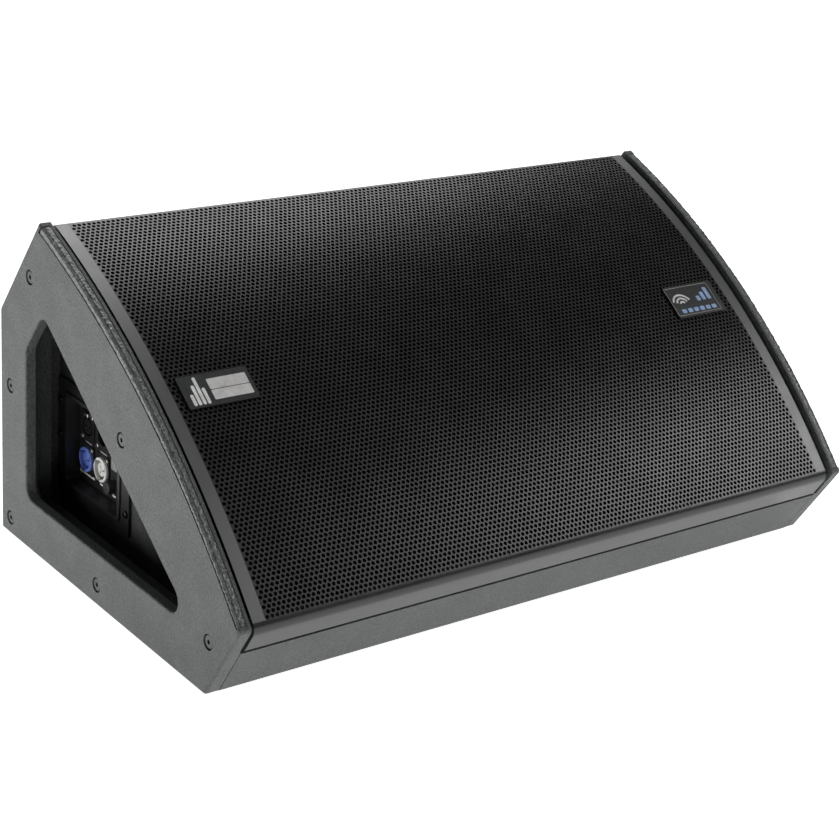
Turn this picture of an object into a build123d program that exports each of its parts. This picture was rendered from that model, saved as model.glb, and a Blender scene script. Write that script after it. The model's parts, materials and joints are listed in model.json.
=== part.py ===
from build123d import *
import os
from math import cos, hypot, pi, radians, sin, tan

# A powered stage monitor wedge with one 15-inch coaxial driver.
# Millimetres. +X is to the right seen from the front, the front faces -Y and +Z is up.
# The origin is under the middle of the cabinet, on the surface that the feet stand on.

# ---------------------------------------------------------------- cabinet dimensions
WIDTH = 730.0              # over the outer faces of the cheeks
CHEEK = 15.0               # thickness of the two side boards
PANEL = 15.0               # thickness of the boards between them
FOOT_HEIGHT = 5.0          # rubber feet, below the bottom panel
CHEEK_PROUD = 4.0          # the cheeks stand this far outside the grille
GRILLE_RISE = 28.0         # height of the grille's arc over its chord
GRILLE_SHEET = 1.5
GRILLE_HALF_WIDTH = 347.5
FOAM = 4.0
FOAM_HALF_WIDTH = 342.0
FOAM_HALF_LENGTH = 204.0
BAFFLE_BACK = 8.0          # front face of the baffle, behind the chord
BAFFLE = 18.0
PARTITION_FACE = 309.0     # outer face of each partition, from the middle
BATTEN_DEPTH = 23.0
BATTEN_WIDTH = 20.0
GRILLE_TOP_FLANGE = 18.0   # folded down the upper rear panel
GRILLE_LIP_FLANGE = 29.5   # folded down the front lip
LIP_GAP = 4.0              # shadow gap below it
PAN_SCREW = 4.0
PAN_SCREW_LENGTH = 14.0
GRILLE_SCREWS_X = (-255.0, -85.0, 85.0, 255.0)
FOOT_SCREW = 5.0
FOOT_RADIUS = 19.0
FOOT_X = (-300.0, 300.0)
FOOT_Y = (-345.0, -40.0)   # from the rear face
BADGE_X = 290.0
LEFT_BADGE = (72.0, 34.0)
RIGHT_BADGE = (67.0, 40.0)
BADGE = 2.0                # thickness
GLUE_LINE = 0.1            # under the badges

# ---------------------------------------------------------------- cheek dimensions
CHEEK_SCREW_PLACES = [(-62.0, 278.5), (-21.0, 157.6), (-19.5, 18.0), (-195.6, 20.8),
                      (-391.5, 52.8), (-237.4, 180.5)]
CHEEK_SCREW = 5.0
COUNTERBORE = (15.0, 3.0)          # diameter and depth
CHEEK_SCREW_HEAD = 6.4             # radius
SCREW_TIP = -WIDTH / 2 + 33.0
ROUND_OVER = 3.0
SEAM_CHAMFER = 1.0                 # inner outline edges, against the panels
NOSE_CORNER = 5.0
FRONT_FOOT_CORNER = 5.0
REAR_SHOULDER_CORNER = 8.0
SHADOW_GAP = (2.5, 8.0)            # width and depth, beside the grille
STRIP_WIDTH = 9.4                  # in from the cheek's outer face
STRIP_REACH = (8.0, 5.5, 3.0)      # down the outer face, at the apex, middle and nose
STRIP_SUNK = 0.6
STRIP_PLAY = 0.3
STRIP_END = 5.0                    # plain cheek left at each end of the strip
HAND_OPENING_FRONT = 61.0          # behind the chord
HAND_OPENING_REAR = -53.0
HAND_OPENING_BOTTOM = 53.0
HAND_OPENING_TOP = (-53.0, 205.0)
HAND_OPENING_CORNER = 13.0

# Corners of the cabinet's side outline as (y, z) from the rear bottom edge, going round
# with the inside on the left: front bottom, rear bottom, rear top, apex and nose.
OUTLINE = [(-388.0, 0.0), (0.0, 0.0), (0.0, 230.0), (-77.0, 331.5), (-437.0, 79.0)]
FRONT_BOTTOM, REAR_BOTTOM, REAR_TOP, APEX, NOSE = range(5)

INNER_HALF = WIDTH / 2 - CHEEK
CHORD_RUN = OUTLINE[APEX][0] - OUTLINE[NOSE][0]
CHORD_RISE = OUTLINE[APEX][1] - OUTLINE[NOSE][1]
CHORD = hypot(CHORD_RUN, CHORD_RISE)
UP_SLOPE = (CHORD_RUN / CHORD, CHORD_RISE / CHORD)      # along the chord, nose to apex
OUTWARD = (-UP_SLOPE[1], UP_SLOPE[0])                   # out of the grille
CHORD_MIDDLE = ((OUTLINE[APEX][0] + OUTLINE[NOSE][0]) / 2,
                (OUTLINE[APEX][1] + OUTLINE[NOSE][1]) / 2)
BAFFLE_REAR = BAFFLE_BACK + BAFFLE
SIDE_CHORD = Plane(origin=(*CHORD_MIDDLE, 0), x_dir=(*UP_SLOPE, 0), z_dir=(0, 0, 1))

# ---------------------------------------------------------------- driver dimensions
FLANGE_RADIUS = 194.0      # 15-inch frame
FRAME_FRONT = -10.0        # heights are along the driver's axis, from the grille's chord
FLANGE_THICK = 6.0
BOLT_CIRCLE = 186.0        # radius
BOLT_COUNT = 8
BOLT_START = 22.5          # degrees
BOLT_HOLE = 3.3            # radius, through the frame and its gasket
COIL_RADIUS = 38.0
CUTOUT_RADIUS = 178.0
REBATE_RADIUS = 195.5
PORT_X = 243.0
PORT = (40.0, 180.0)
PORT_CORNER = 19.9
PORT_WALL = 3.0
PORT_END = -97.0

# ---------------------------------------------------------------- connector tray
TRAY_FACE = -312.0         # outer face of the tray's flange
TRAY_CENTRE = (-88.5, 100.0)   # (y, z) from the rear bottom edge
TRAY_FLANGE = (142.0, 118.0)
TRAY_MOUTH = (103.0, 89.0)
TRAY_DEPTH = 14.0
TRAY_WALL = 3.0
COLUMNS = (-34.0, -4.0)    # connector columns, from the tray's centre
SIGNAL_ROW = 15.0
MAINS_ROW = -19.0
CONNECTOR_SCREW = (-9.5, -12.0)
KNOB = (19.0, -28.0)
TRAY_OPENING = (TRAY_MOUTH[0] + 9, TRAY_MOUTH[1] + 9)
FLANGE_PLATE = (26.0, 31.0, 1.6)
BARREL_RADIUS = 11.8
BEZEL_RADIUS = 12.6
LATCH_OFFSET = 12.6
LATCH = (7.0, 4.2)
LATCH_CLEARANCE = 0.3
HOUSING_BACK = -97.0
HOUSING = (107.0, 94.0)
HOUSING_WALL = 1.5
BOARD_LEVEL = -52.0
LEAD_RADIUS = 2.6
LEAD_HOLE_WOOFER = (18.0, -60.0)     # (y, out) on the housing's side, in the tray's frame
LEAD_HOLE_HF = (-20.0, -72.0)


# ---------------------------------------------------------------- side outline geometry
def inward_normal(start, end):
    """Unit normal of an outline edge, pointing into the cabinet."""
    run, rise = end[0] - start[0], end[1] - start[1]
    length = hypot(run, rise)
    return (-rise / length, run / length)


def inside(corner, before, after):
    """Where the two edges at a corner meet once each is moved into the cabinet."""
    here = OUTLINE[corner]
    first = inward_normal(OUTLINE[corner - 1], here)
    second = inward_normal(here, OUTLINE[(corner + 1) % len(OUTLINE)])
    spread = first[0] * second[1] - first[1] * second[0]
    y = (before * second[1] - after * first[1]) / spread
    z = (first[0] * after - second[0] * before) / spread
    return (here[0] + y, here[1] + z)


def chord_point(along, out):
    """A (y, z) point from its distance up the grille's chord and out of it."""
    return (CHORD_MIDDLE[0] + along * UP_SLOPE[0] + out * OUTWARD[0],
            CHORD_MIDDLE[1] + along * UP_SLOPE[1] + out * OUTWARD[1])


def face_of(points):
    return make_face(Polyline(*points, close=True))


def near(shape, *points):
    """The vertices of a flat shape that lie nearest to some points."""
    return [min(shape.vertices(), key=lambda v: hypot(v.X - p[0], v.Y - p[1])) for p in points]


def curved_front(out):
    """Outline face with the curved front moved outwards by a distance."""
    top, bottom = chord_point(CHORD / 2, out), chord_point(-CHORD / 2, out)
    back = Polyline(bottom, OUTLINE[FRONT_BOTTOM], OUTLINE[REAR_BOTTOM], OUTLINE[REAR_TOP], top)
    front = ThreePointArc(top, chord_point(0, GRILLE_RISE + out), bottom)
    return make_face(Curve() + [back, front])


def cheek_outline():
    face = curved_front(CHEEK_PROUD)
    face = fillet(near(face, chord_point(-CHORD / 2, CHEEK_PROUD)), NOSE_CORNER)
    face = fillet(near(face, OUTLINE[FRONT_BOTTOM]), FRONT_FOOT_CORNER)
    return fillet(near(face, OUTLINE[REAR_TOP]), REAR_SHOULDER_CORNER)


CHEEK_FACE = cheek_outline()
REAR_Y = CHEEK_FACE.bounding_box().size.X / 2
SIDE = Plane(origin=(0, REAR_Y, FOOT_HEIGHT), x_dir=(0, 1, 0), z_dir=(1, 0, 0))
FRONT = Plane(origin=SIDE.from_local_coords((*CHORD_MIDDLE, 0)),
              x_dir=(1, 0, 0), z_dir=(0, *OUTWARD))
TRAY = Plane(origin=SIDE.from_local_coords((*TRAY_CENTRE, TRAY_FACE)),
             x_dir=(0, -1, 0), z_dir=(-1, 0, 0))


def across(face, low, high):
    """Extrude a side outline face from one X to another."""
    return SIDE * Pos(0, 0, low) * extrude(face, high - low)


def mirrored(shape):
    return mirror(shape, Plane.YZ)


def save(name, *solids):
    shape = solids[0] if len(solids) == 1 else Compound(children=list(solids))
    shape.label = name
    export_step(shape, f"parts/{name}.step")


# ---------------------------------------------------------------- boards
def board_face(edge, outer, inner, start_other, end_other):
    """Mitred board along an outline edge, between two depths inside that edge.

    start_other and end_other are (outer, inner) depths of the edges before and after it."""
    following = (edge + 1) % len(OUTLINE)
    return face_of([inside(edge, start_other[0], outer), inside(following, outer, end_other[0]),
                    inside(following, inner, end_other[1]), inside(edge, start_other[1], inner)])


def rounded_outline():
    face = face_of(OUTLINE)
    return fillet(near(face, OUTLINE[FRONT_BOTTOM], OUTLINE[REAR_BOTTOM]), 3)


def grille_section():
    """Sheet section: up over the apex, along the arc, round the nose and down the lip."""
    face = curved_front(0)
    face = fillet(near(face, OUTLINE[APEX]), 4)
    face = fillet(near(face, OUTLINE[NOSE]), 10)
    return face


def flange_end(corner, toward, length, out):
    """A point along an outline edge from a corner, moved out of the cabinet."""
    start, end = OUTLINE[corner], OUTLINE[toward]
    size = hypot(end[0] - start[0], end[1] - start[1])
    step = ((end[0] - start[0]) / size, (end[1] - start[1]) / size)
    turn = 1 if toward == (corner + 1) % len(OUTLINE) else -1
    normal = (step[1] * turn, -step[0] * turn)
    return (start[0] + step[0] * length + normal[0] * out,
            start[1] + step[1] * length + normal[1] * out)


def front_region(top_length, lip_length):
    """Everything in front of the ends of the grille's two flanges."""
    reach = 20.0
    return face_of([
        flange_end(APEX, REAR_TOP, top_length, -reach), flange_end(APEX, REAR_TOP, top_length, reach),
        chord_point(CHORD, 200), chord_point(-CHORD, 200),
        flange_end(NOSE, FRONT_BOTTOM, lip_length, reach),
        flange_end(NOSE, FRONT_BOTTOM, lip_length, -reach)])


def sheet_between(outer, inner, region):
    """Section between two depths inside the grille's outer surface; None has no outer bound."""
    section = grille_section()
    if outer is None:
        outside = curved_front(40)
    else:
        outside = offset(section, -outer) if outer else section
    return (outside - offset(section, -inner)) & region


def shadow_gap(region):
    """Section of the gap beside the grille, from outside the cabinet to the gap's floor."""
    return (curved_front(40) - offset(curved_front(0), -SHADOW_GAP[1])) & region


def make_cabinet_boards():
    outline = rounded_outline()
    flanges = front_region(GRILLE_TOP_FLANGE + 2, GRILLE_LIP_FLANGE + LIP_GAP)
    seat = sheet_between(None, GRILLE_SHEET + 0.3, flanges)
    square = (0, PANEL)
    to_grille = (3.0, 3.0)
    faces = {
        "bottom_panel": board_face(FRONT_BOTTOM, 0, PANEL, square, square),
        "rear_panel": board_face(REAR_BOTTOM, 0, PANEL, square, square),
        "top_rear_panel": board_face(REAR_TOP, 0, PANEL, square, to_grille),
        "front_lip_panel": board_face(NOSE, 0, PANEL, to_grille, square),
    }
    boards = {name: across((face & outline) - seat, -INNER_HALF, INNER_HALF)
              for name, face in faces.items()}
    rebate = across(shadow_gap(flanges), -INNER_HALF, -GRILLE_HALF_WIDTH + 1)
    for name in ("top_rear_panel", "front_lip_panel"):
        boards[name] -= rebate
        boards[name] -= mirrored(rebate)
    for x, y in foot_places():
        boards["bottom_panel"] -= Pos(x, y, FOOT_HEIGHT) * Cylinder(FOOT_SCREW / 2, 24)
    hole = Pos(0, 0, -PAN_SCREW_LENGTH / 2) * Cylinder(PAN_SCREW / 2, PAN_SCREW_LENGTH)
    for plane in grille_screw_planes():
        boards["top_rear_panel"] -= plane * hole
    for name, board in boards.items():
        save(name, board)


def foot_places():
    return [(x, REAR_Y + y) for x in FOOT_X for y in FOOT_Y]


def make_feet():
    feet, screws = [], []
    for x, y in foot_places():
        foot = Pos(x, y, FOOT_HEIGHT / 2) * Cone(FOOT_RADIUS - 2, FOOT_RADIUS, FOOT_HEIGHT)
        foot -= Pos(x, y, 1.5) * Cylinder(6, 3)
        foot -= Pos(x, y, 4) * Cylinder(FOOT_SCREW / 2, 4)
        feet.append(foot)
        head = Pos(x, y, 2) * Cylinder(4.6, 2) - Pos(x, y, 1.4) * Box(6, 1, 0.9)
        screws.append(head + Pos(x, y, 9.5) * Cylinder(FOOT_SCREW / 2, 13))
    save("rubber_feet", *feet)
    save("foot_screws", *screws)


# ---------------------------------------------------------------- baffle and partitions
def bolt_places():
    turns = [BOLT_START + 360 / BOLT_COUNT * i for i in range(BOLT_COUNT)]
    return [Rot(0, 0, turn) * Pos(BOLT_CIRCLE, 0, 0) for turn in turns]


def make_baffle():
    face = board_face(APEX, BAFFLE_BACK, BAFFLE_REAR, (PANEL, PANEL), (PANEL, PANEL))
    baffle = across(face, -INNER_HALF, INNER_HALF)
    rebate_floor = FRAME_FRONT - FLANGE_THICK
    baffle -= FRONT * Pos(0, 0, -20) * Cylinder(CUTOUT_RADIUS, 60)
    baffle -= FRONT * Pos(0, 0, rebate_floor + 10) * Cylinder(REBATE_RADIUS, 20)
    for side in (-1, 1):
        slot = extrude(RectangleRounded(*PORT, PORT_CORNER), 60, both=True)
        baffle -= FRONT * Pos(side * PORT_X, 0, -20) * slot
    for place in bolt_places():
        baffle -= FRONT * place * Pos(0, 0, -20) * Cylinder(4, 40)
    save("baffle_board", baffle)
    ducts = []
    for side in (-1, 1):
        duct = RectangleRounded(*PORT, PORT_CORNER)
        duct -= offset(duct, -PORT_WALL)
        ducts.append(FRONT * Pos(side * PORT_X, 0, PORT_END) * extrude(duct, -BAFFLE_BACK - PORT_END))
    save("port_ducts", *ducts)


def inner_outline():
    return face_of([inside(FRONT_BOTTOM, PANEL, PANEL), inside(REAR_BOTTOM, PANEL, PANEL),
                    inside(REAR_TOP, PANEL, PANEL), inside(APEX, PANEL, BAFFLE_REAR),
                    inside(NOSE, BAFFLE_REAR, PANEL)])


def make_partitions():
    board = across(inner_outline(), -PARTITION_FACE, -PARTITION_FACE + PANEL)
    save("right_partition", mirrored(board))
    board -= TRAY * Pos(0, 0, -10) * Box(*TRAY_OPENING, 60)
    for place in tray_screw_places():
        board -= TRAY * place * Pos(0, 0, -8) * Cylinder(PAN_SCREW / 2, 16)
    save("left_partition", board)


def make_battens():
    """Glued battens round the end of the cabinet, which take the cheek screws."""
    shallow, deep = PANEL, PANEL + BATTEN_DEPTH
    pair = (shallow, deep)
    front = (BAFFLE_REAR, BAFFLE_REAR + BATTEN_DEPTH)
    faces = [board_face(FRONT_BOTTOM, *pair, pair, pair), board_face(REAR_BOTTOM, *pair, pair, pair),
             board_face(REAR_TOP, *pair, pair, front), board_face(APEX, *front, pair, pair),
             board_face(NOSE, *pair, front, pair)]
    battens = []
    for face in faces:
        batten = across(face, -INNER_HALF, -INNER_HALF + BATTEN_WIDTH)
        for place in CHEEK_SCREW_PLACES:
            batten -= across(Pos(*place) * Circle(CHEEK_SCREW / 2), -WIDTH / 2, SCREW_TIP)
        battens.append(batten)
    save("cheek_battens", *battens, *[mirrored(batten) for batten in battens])


# ---------------------------------------------------------------- cheeks
def hand_opening_face():
    """Quadrilateral whose front side follows the chord and whose top follows the upper rear."""
    def on_front(z):
        along = (z - chord_point(0, -HAND_OPENING_FRONT)[1]) / UP_SLOPE[1]
        return chord_point(along, -HAND_OPENING_FRONT)

    slope = inward_normal(OUTLINE[REAR_TOP], OUTLINE[APEX])
    direction = (slope[1], -slope[0])
    origin = chord_point(0, -HAND_OPENING_FRONT)
    across_front = (OUTWARD[0] * direction[0] + OUTWARD[1] * direction[1])
    gap = ((origin[0] - HAND_OPENING_TOP[0]) * OUTWARD[0]
           + (origin[1] - HAND_OPENING_TOP[1]) * OUTWARD[1]) / across_front
    top = (HAND_OPENING_TOP[0] + gap * direction[0], HAND_OPENING_TOP[1] + gap * direction[1])
    face = face_of([on_front(HAND_OPENING_BOTTOM), (HAND_OPENING_REAR, HAND_OPENING_BOTTOM),
                    HAND_OPENING_TOP, top])
    return fillet(face.vertices(), HAND_OPENING_CORNER)


def front_band(out, depth):
    """Band of a given depth along the curved front, measured in from an outward offset."""
    outer = ThreePointArc(chord_point(CHORD / 2, out), chord_point(0, GRILLE_RISE + out),
                          chord_point(-CHORD / 2, out))
    inner = ThreePointArc(chord_point(CHORD / 2, out - depth),
                          chord_point(0, GRILLE_RISE + out - depth),
                          chord_point(-CHORD / 2, out - depth))
    ends = [Line(outer @ 0, inner @ 0), Line(outer @ 1, inner @ 1)]
    return make_face(Curve() + [outer, inner, *ends])


def plain_cheek(sunk=0.0):
    """Left cheek before its opening and holes, or the same body sunk below its surface."""
    face = CHEEK_FACE if sunk == 0 else offset(CHEEK_FACE, -sunk)
    cheek = across(face, -WIDTH / 2 + sunk, -INNER_HALF)
    outer_edges = cheek.faces().sort_by(Axis.X)[0].edges()
    return fillet(outer_edges, ROUND_OVER - sunk)


def strip_section(play):
    """Section of the edge strip's rebate, less some play on its inner side and at its ends."""
    top, middle, bottom = [play - reach + CHEEK_PROUD for reach in STRIP_REACH]
    outside = 6.0
    outer = ThreePointArc(chord_point(CHORD / 2, outside), chord_point(0, GRILLE_RISE + outside),
                          chord_point(-CHORD / 2, outside))
    inner = ThreePointArc(chord_point(CHORD / 2, top), chord_point(0, GRILLE_RISE + middle),
                          chord_point(-CHORD / 2, bottom))
    ends = [Line(outer @ 0, inner @ 0), Line(outer @ 1, inner @ 1)]
    length = CHORD - 2 * STRIP_END - 2 * play
    window = SIDE_CHORD * Rectangle(length, 200)
    return make_face(Curve() + [outer, inner, *ends]) & window


def make_cheeks():
    inner = -WIDTH / 2 + STRIP_WIDTH
    strip = plain_cheek(STRIP_SUNK) & across(strip_section(STRIP_PLAY), -WIDTH / 2, inner - STRIP_PLAY)
    save("edge_strips", strip, mirrored(strip))

    cheek = plain_cheek()
    cheek = chamfer(cheek.faces().sort_by(Axis.X)[-1].edges(), SEAM_CHAMFER)
    cheek -= across(strip_section(0), -WIDTH / 2 - 1, inner)
    gap = shadow_gap(front_region(CHORD, GRILLE_LIP_FLANGE + 1))
    cheek -= across(gap, -INNER_HALF - SHADOW_GAP[0], -INNER_HALF)
    opening = across(hand_opening_face(), -WIDTH / 2 - 1, -INNER_HALF + 1)
    cheek -= opening
    rims = [e for e in cheek.edges() if is_opening_edge(e)]
    cheek = fillet([e for e in rims if e.center().X < -WIDTH / 2 + 1], 2)
    rims = [e for e in cheek.edges() if is_opening_edge(e) and e.center().X > -INNER_HALF - 1]
    cheek = chamfer(rims, 4.5)
    for place in CHEEK_SCREW_PLACES:
        cheek -= across(Pos(*place) * Circle(CHEEK_SCREW / 2), -WIDTH / 2, -INNER_HALF)
        cheek -= across(Pos(*place) * Circle(COUNTERBORE[0] / 2), -WIDTH / 2 - 1,
                        -WIDTH / 2 + COUNTERBORE[1])
    save("left_cheek", cheek)
    save("right_cheek", mirrored(cheek))

    screws = [cheek_screw(place) for place in CHEEK_SCREW_PLACES]
    save("cheek_screws", *screws, *[mirrored(screw) for screw in screws])


def is_opening_edge(edge):
    """Whether an edge lies on the rim of the hand opening, in one of the cheek's two faces."""
    box = edge.bounding_box()
    flat = box.max.X - box.min.X < 0.01
    on_face = min(abs(box.min.X + WIDTH / 2), abs(box.min.X + INNER_HALF)) < 0.01
    place = SIDE.to_local_coords(edge @ 0.5)
    return flat and on_face and hand_zone(place.X, place.Y)


def hand_zone(y, z):
    """Whether a (y, z) point is in or at the hand opening, rather than at the cheek's outline."""
    depth = -((y - CHORD_MIDDLE[0]) * OUTWARD[0] + (z - CHORD_MIDDLE[1]) * OUTWARD[1])
    return depth > HAND_OPENING_FRONT - 1 and y < HAND_OPENING_REAR + 1 and z > HAND_OPENING_BOTTOM - 1


def cheek_screw(place):
    """Button-head socket screw in the left cheek, sitting on its counterbore's floor."""
    seat = -WIDTH / 2 + COUNTERBORE[1]
    head = across(Pos(*place) * Circle(CHEEK_SCREW_HEAD), seat - 2.4, seat)
    head = fillet(head.faces().sort_by(Axis.X)[0].edges(), 1.4)
    head -= across(Pos(*place) * RegularPolygon(2.4, 6), seat - 4, seat - 0.8)
    return head + across(Pos(*place) * Circle(CHEEK_SCREW / 2), seat, SCREW_TIP)


# ---------------------------------------------------------------- grille
def grille_screw_planes():
    """Places of the screws on the grille's top flange, facing out of the upper rear panel."""
    place = flange_end(APEX, REAR_TOP, GRILLE_TOP_FLANGE / 2 + 1, 0)
    normal = inward_normal(OUTLINE[REAR_TOP], OUTLINE[APEX])
    return [Plane(origin=SIDE.from_local_coords((*place, x)), x_dir=(1, 0, 0),
                  z_dir=(0, -normal[0], -normal[1])) for x in GRILLE_SCREWS_X]


def pan_head_screw():
    head = Cylinder(3.8, 2.4, align=(Align.CENTER, Align.CENTER, Align.MIN))
    head = fillet(head.faces().sort_by(Axis.Z)[-1].edges(), 1.6)
    head -= Pos(0, 0, 2) * Box(4, 0.9, 2) + Pos(0, 0, 2) * Box(0.9, 4, 2)
    return head + Pos(0, 0, -PAN_SCREW_LENGTH / 2) * Cylinder(PAN_SCREW / 2, PAN_SCREW_LENGTH)


def make_pan_head_screws():
    """The screws of the grille and of the connector tray, which are alike."""
    places = grille_screw_planes() + [TRAY * place for place in tray_screw_places()]
    save("pan_head_screws", *[place * pan_head_screw() for place in places])


def badge(size, x):
    """Thin plate that lies against the outside of the curved grille."""
    plate = extrude(RectangleRounded(*size, 2), 60, both=True)
    region = FRONT * Pos(x, 0, 0) * plate
    shell = front_band(BADGE + GLUE_LINE, BADGE)
    return across(shell, -INNER_HALF, INNER_HALF) & region


def make_grille():
    region = front_region(GRILLE_TOP_FLANGE, GRILLE_LIP_FLANGE)
    sheet = across(sheet_between(0, GRILLE_SHEET, region), -GRILLE_HALF_WIDTH, GRILLE_HALF_WIDTH)
    for plane in grille_screw_planes():
        sheet -= plane * Cylinder(PAN_SCREW / 2, 10)
    save("grille", sheet)
    window = face_of([chord_point(-FOAM_HALF_LENGTH, -20), chord_point(-FOAM_HALF_LENGTH, 60),
                      chord_point(FOAM_HALF_LENGTH, 60), chord_point(FOAM_HALF_LENGTH, -20)])
    foam = sheet_between(GRILLE_SHEET, GRILLE_SHEET + FOAM, window)
    save("grille_foam", across(foam, -FOAM_HALF_WIDTH, FOAM_HALF_WIDTH))
    save("left_badge", badge(LEFT_BADGE, -BADGE_X))
    save("right_badge", badge(RIGHT_BADGE, BADGE_X))


# ---------------------------------------------------------------- driver
def turned(*points):
    """Solid turned about the driver's axis from (radius, height) points."""
    return revolve(Plane.XZ * face_of(points), Axis.Z)


def ring(inner, outer, low, high):
    if inner == 0:
        return turned((0, low), (outer, low), (outer, high), (0, high))
    return turned((inner, low), (outer, low), (outer, high), (inner, high))


def place_driver(name, *solids):
    save(name, *[FRONT * solid for solid in solids])


def make_frame():
    outer = [(FLANGE_RADIUS, FRAME_FRONT), (FLANGE_RADIUS, FRAME_FRONT - FLANGE_THICK),
             (177, -16), (173, -42), (124, -88), (104, -93), (101, -99), (90, -101), (90, -116)]
    inner = [(52, -116), (52, -112), (85, -112), (85, -94), (96, -94), (100, -88), (121, -83),
             (168, -39), (170, -16), (170, FRAME_FRONT)]
    frame = turned(*outer, *inner)
    windows = 8
    spoke_share = 0.36
    for i in range(windows):
        sweep = 360 / windows * (1 - spoke_share) / 2
        wedge = face_of([(0, 0), (200 * cos(radians(-sweep)), 200 * sin(radians(-sweep))),
                         (200 * cos(radians(sweep)), 200 * sin(radians(sweep)))])
        opening = (Circle(160) - Circle(112)) & wedge
        frame -= Rot(0, 0, 360 / windows * i) * Pos(0, 0, -110) * extrude(opening, 90)
    for place in bolt_places():
        frame -= place * Pos(0, 0, -13) * Cylinder(BOLT_HOLE, 12)
    place_driver("woofer_frame", frame)


def make_driver_fixings():
    gasket = ring(182, FLANGE_RADIUS, FRAME_FRONT, FRAME_FRONT + 3)
    bolts, nuts = [], []
    for place in bolt_places():
        gasket -= place * Pos(0, 0, FRAME_FRONT) * Cylinder(BOLT_HOLE, 12)
        head = Pos(0, 0, -4) * Cylinder(5, 6) - Pos(0, 0, -2) * extrude(RegularPolygon(2.9, 6), 3)
        bolts.append(place * (head + Pos(0, 0, -19.5) * Cylinder(3, 25)))
        collar = Pos(0, 0, -27) * Cylinder(9, 2) + Pos(0, 0, -22.5) * Cylinder(4, 9)
        nuts.append(place * (collar - Pos(0, 0, -24) * Cylinder(3, 20)))
    place_driver("woofer_gasket", gasket)
    place_driver("woofer_bolts", *bolts)
    place_driver("woofer_tee_nuts", *nuts)


def make_motor():
    place_driver("woofer_top_plate", ring(COIL_RADIUS + 2.2, 80, -126, -116))
    place_driver("woofer_magnet", ring(52, 85, -146, -126))
    yoke = turned((20, -158), (78, -158), (78, -146), (36.9, -146), (36.9, -116), (20, -116))
    place_driver("woofer_back_plate", yoke)


def make_moving_parts():
    former = ring(COIL_RADIUS - 0.4, COIL_RADIUS, -129, -80)
    winding = ring(COIL_RADIUS, COIL_RADIUS + 1.2, -129, -113)
    thick = 1.4
    outer = ThreePointArc((155, FRAME_FRONT), (92, -55), (40, -84))
    inner = ThreePointArc((155, FRAME_FRONT - thick), (92, -55 - thick), (40, -84 - thick))
    neck = [Line((40, -84), (38, -84)), Line((38, -84), (38, -92)), Line((38, -92), (40, -92)),
            Line((40, -92), (40, -84 - thick))]
    edge = Line((155, FRAME_FRONT), (155, FRAME_FRONT - thick))
    face = make_face(Curve() + [outer, inner, edge, *neck])
    place_driver("cone", revolve(Plane.XZ * face, Axis.Z))
    place_driver("voice_coil_former", former)
    place_driver("voice_coil_winding", winding)


def make_suspension():
    """Half-roll surround and corrugated spider, which bend as the cone moves."""
    centre, roll, thick, foot = 163.5, 8.0, 1.0, FRAME_FRONT
    skin = (Circle(roll) - Circle(roll - thick)) & Pos(0, roll) * Rectangle(4 * roll, 2 * roll)
    section = Pos(centre, foot) * skin
    section += Pos(centre + roll + 4.2, foot + thick / 2) * Rectangle(9.2, thick)
    section += Pos(centre - roll - 2.7, foot + thick / 2) * Rectangle(6.2, thick)
    surround = revolve(Plane.XZ * section, Axis.Z)
    place_driver("surround", surround)

    waves, height, start, end, middle = 5, 2.0, 43.0, 81.0, -92.0
    steps = waves * 6
    crest = [(start + (end - start) * i / steps, middle + height * sin(2 * pi * waves * i / steps))
             for i in range(steps + 1)]
    top = [(COIL_RADIUS, middle), *crest, (95, middle)]
    bottom = [(radius, level - 0.8) for radius, level in reversed(top)]
    spider = turned(*[(r, z - 1.2) for r, z in top], *[(r, z - 1.2) for r, z in bottom])
    place_driver("spider", spider)


def make_high_frequency_unit():
    wall = [(12.7, -158), (12.7, -140), (16, -116), (24, -84), (31, -72), (44, -56), (60, -38)]
    outside = [(63, -38), (63, -40), (47, -59), (34, -75), (27, -87), (19.5, -117), (19.5, -158)]
    place_driver("hf_horn", turned(*wall, *outside))
    place_driver("hf_front_plate", ring(12.7, 46, -164, -158))
    place_driver("hf_magnet", ring(27, 44, -180, -164))
    plug = turned((3, -164), (12, -164), (21, -171), (21, -174), (6, -170))
    place_driver("hf_phase_plug", plug)
    dome_outer = ThreePointArc((0, -181), (16, -178.6), (23, -176))
    dome_inner = ThreePointArc((0, -181.5), (16, -179.1), (23, -176.5))
    dome = make_face(Curve() + [dome_outer, dome_inner, Line((0, -181), (0, -181.5)),
                                Line((23, -176), (23, -176.5))])
    diaphragm = revolve(Plane.XZ * dome, Axis.Z) + ring(22.4, 23, -176.5, -171)
    place_driver("hf_diaphragm", diaphragm)
    cover = turned((0, -191), (44, -191), (46, -189), (46, -180), (44, -180), (30, -180),
                   (30, -187), (0, -187))
    place_driver("hf_rear_cover", cover)


def make_terminals():
    base = Pos(-97, 0, -108) * Box(14, 24, 12)
    place_driver("woofer_terminal_block", base - ring(0, 90, -130, -90))


# ---------------------------------------------------------------- connector tray
def tray_screw_places():
    return [Pos(x, y, 0) for x in (-65.5, 65.5) for y in (-36, 0, 36)]


def on_floor(x, y):
    """A place on the tray's floor."""
    return Pos(x, y, -TRAY_DEPTH)


def connector_places():
    return [(x, y) for y in (SIGNAL_ROW, MAINS_ROW) for x in COLUMNS]


def connector_screw_places():
    dx, dy = CONNECTOR_SCREW
    return [on_floor(x + sign * dx, y + sign * dy) for x, y in connector_places() for sign in (-1, 1)]


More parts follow.
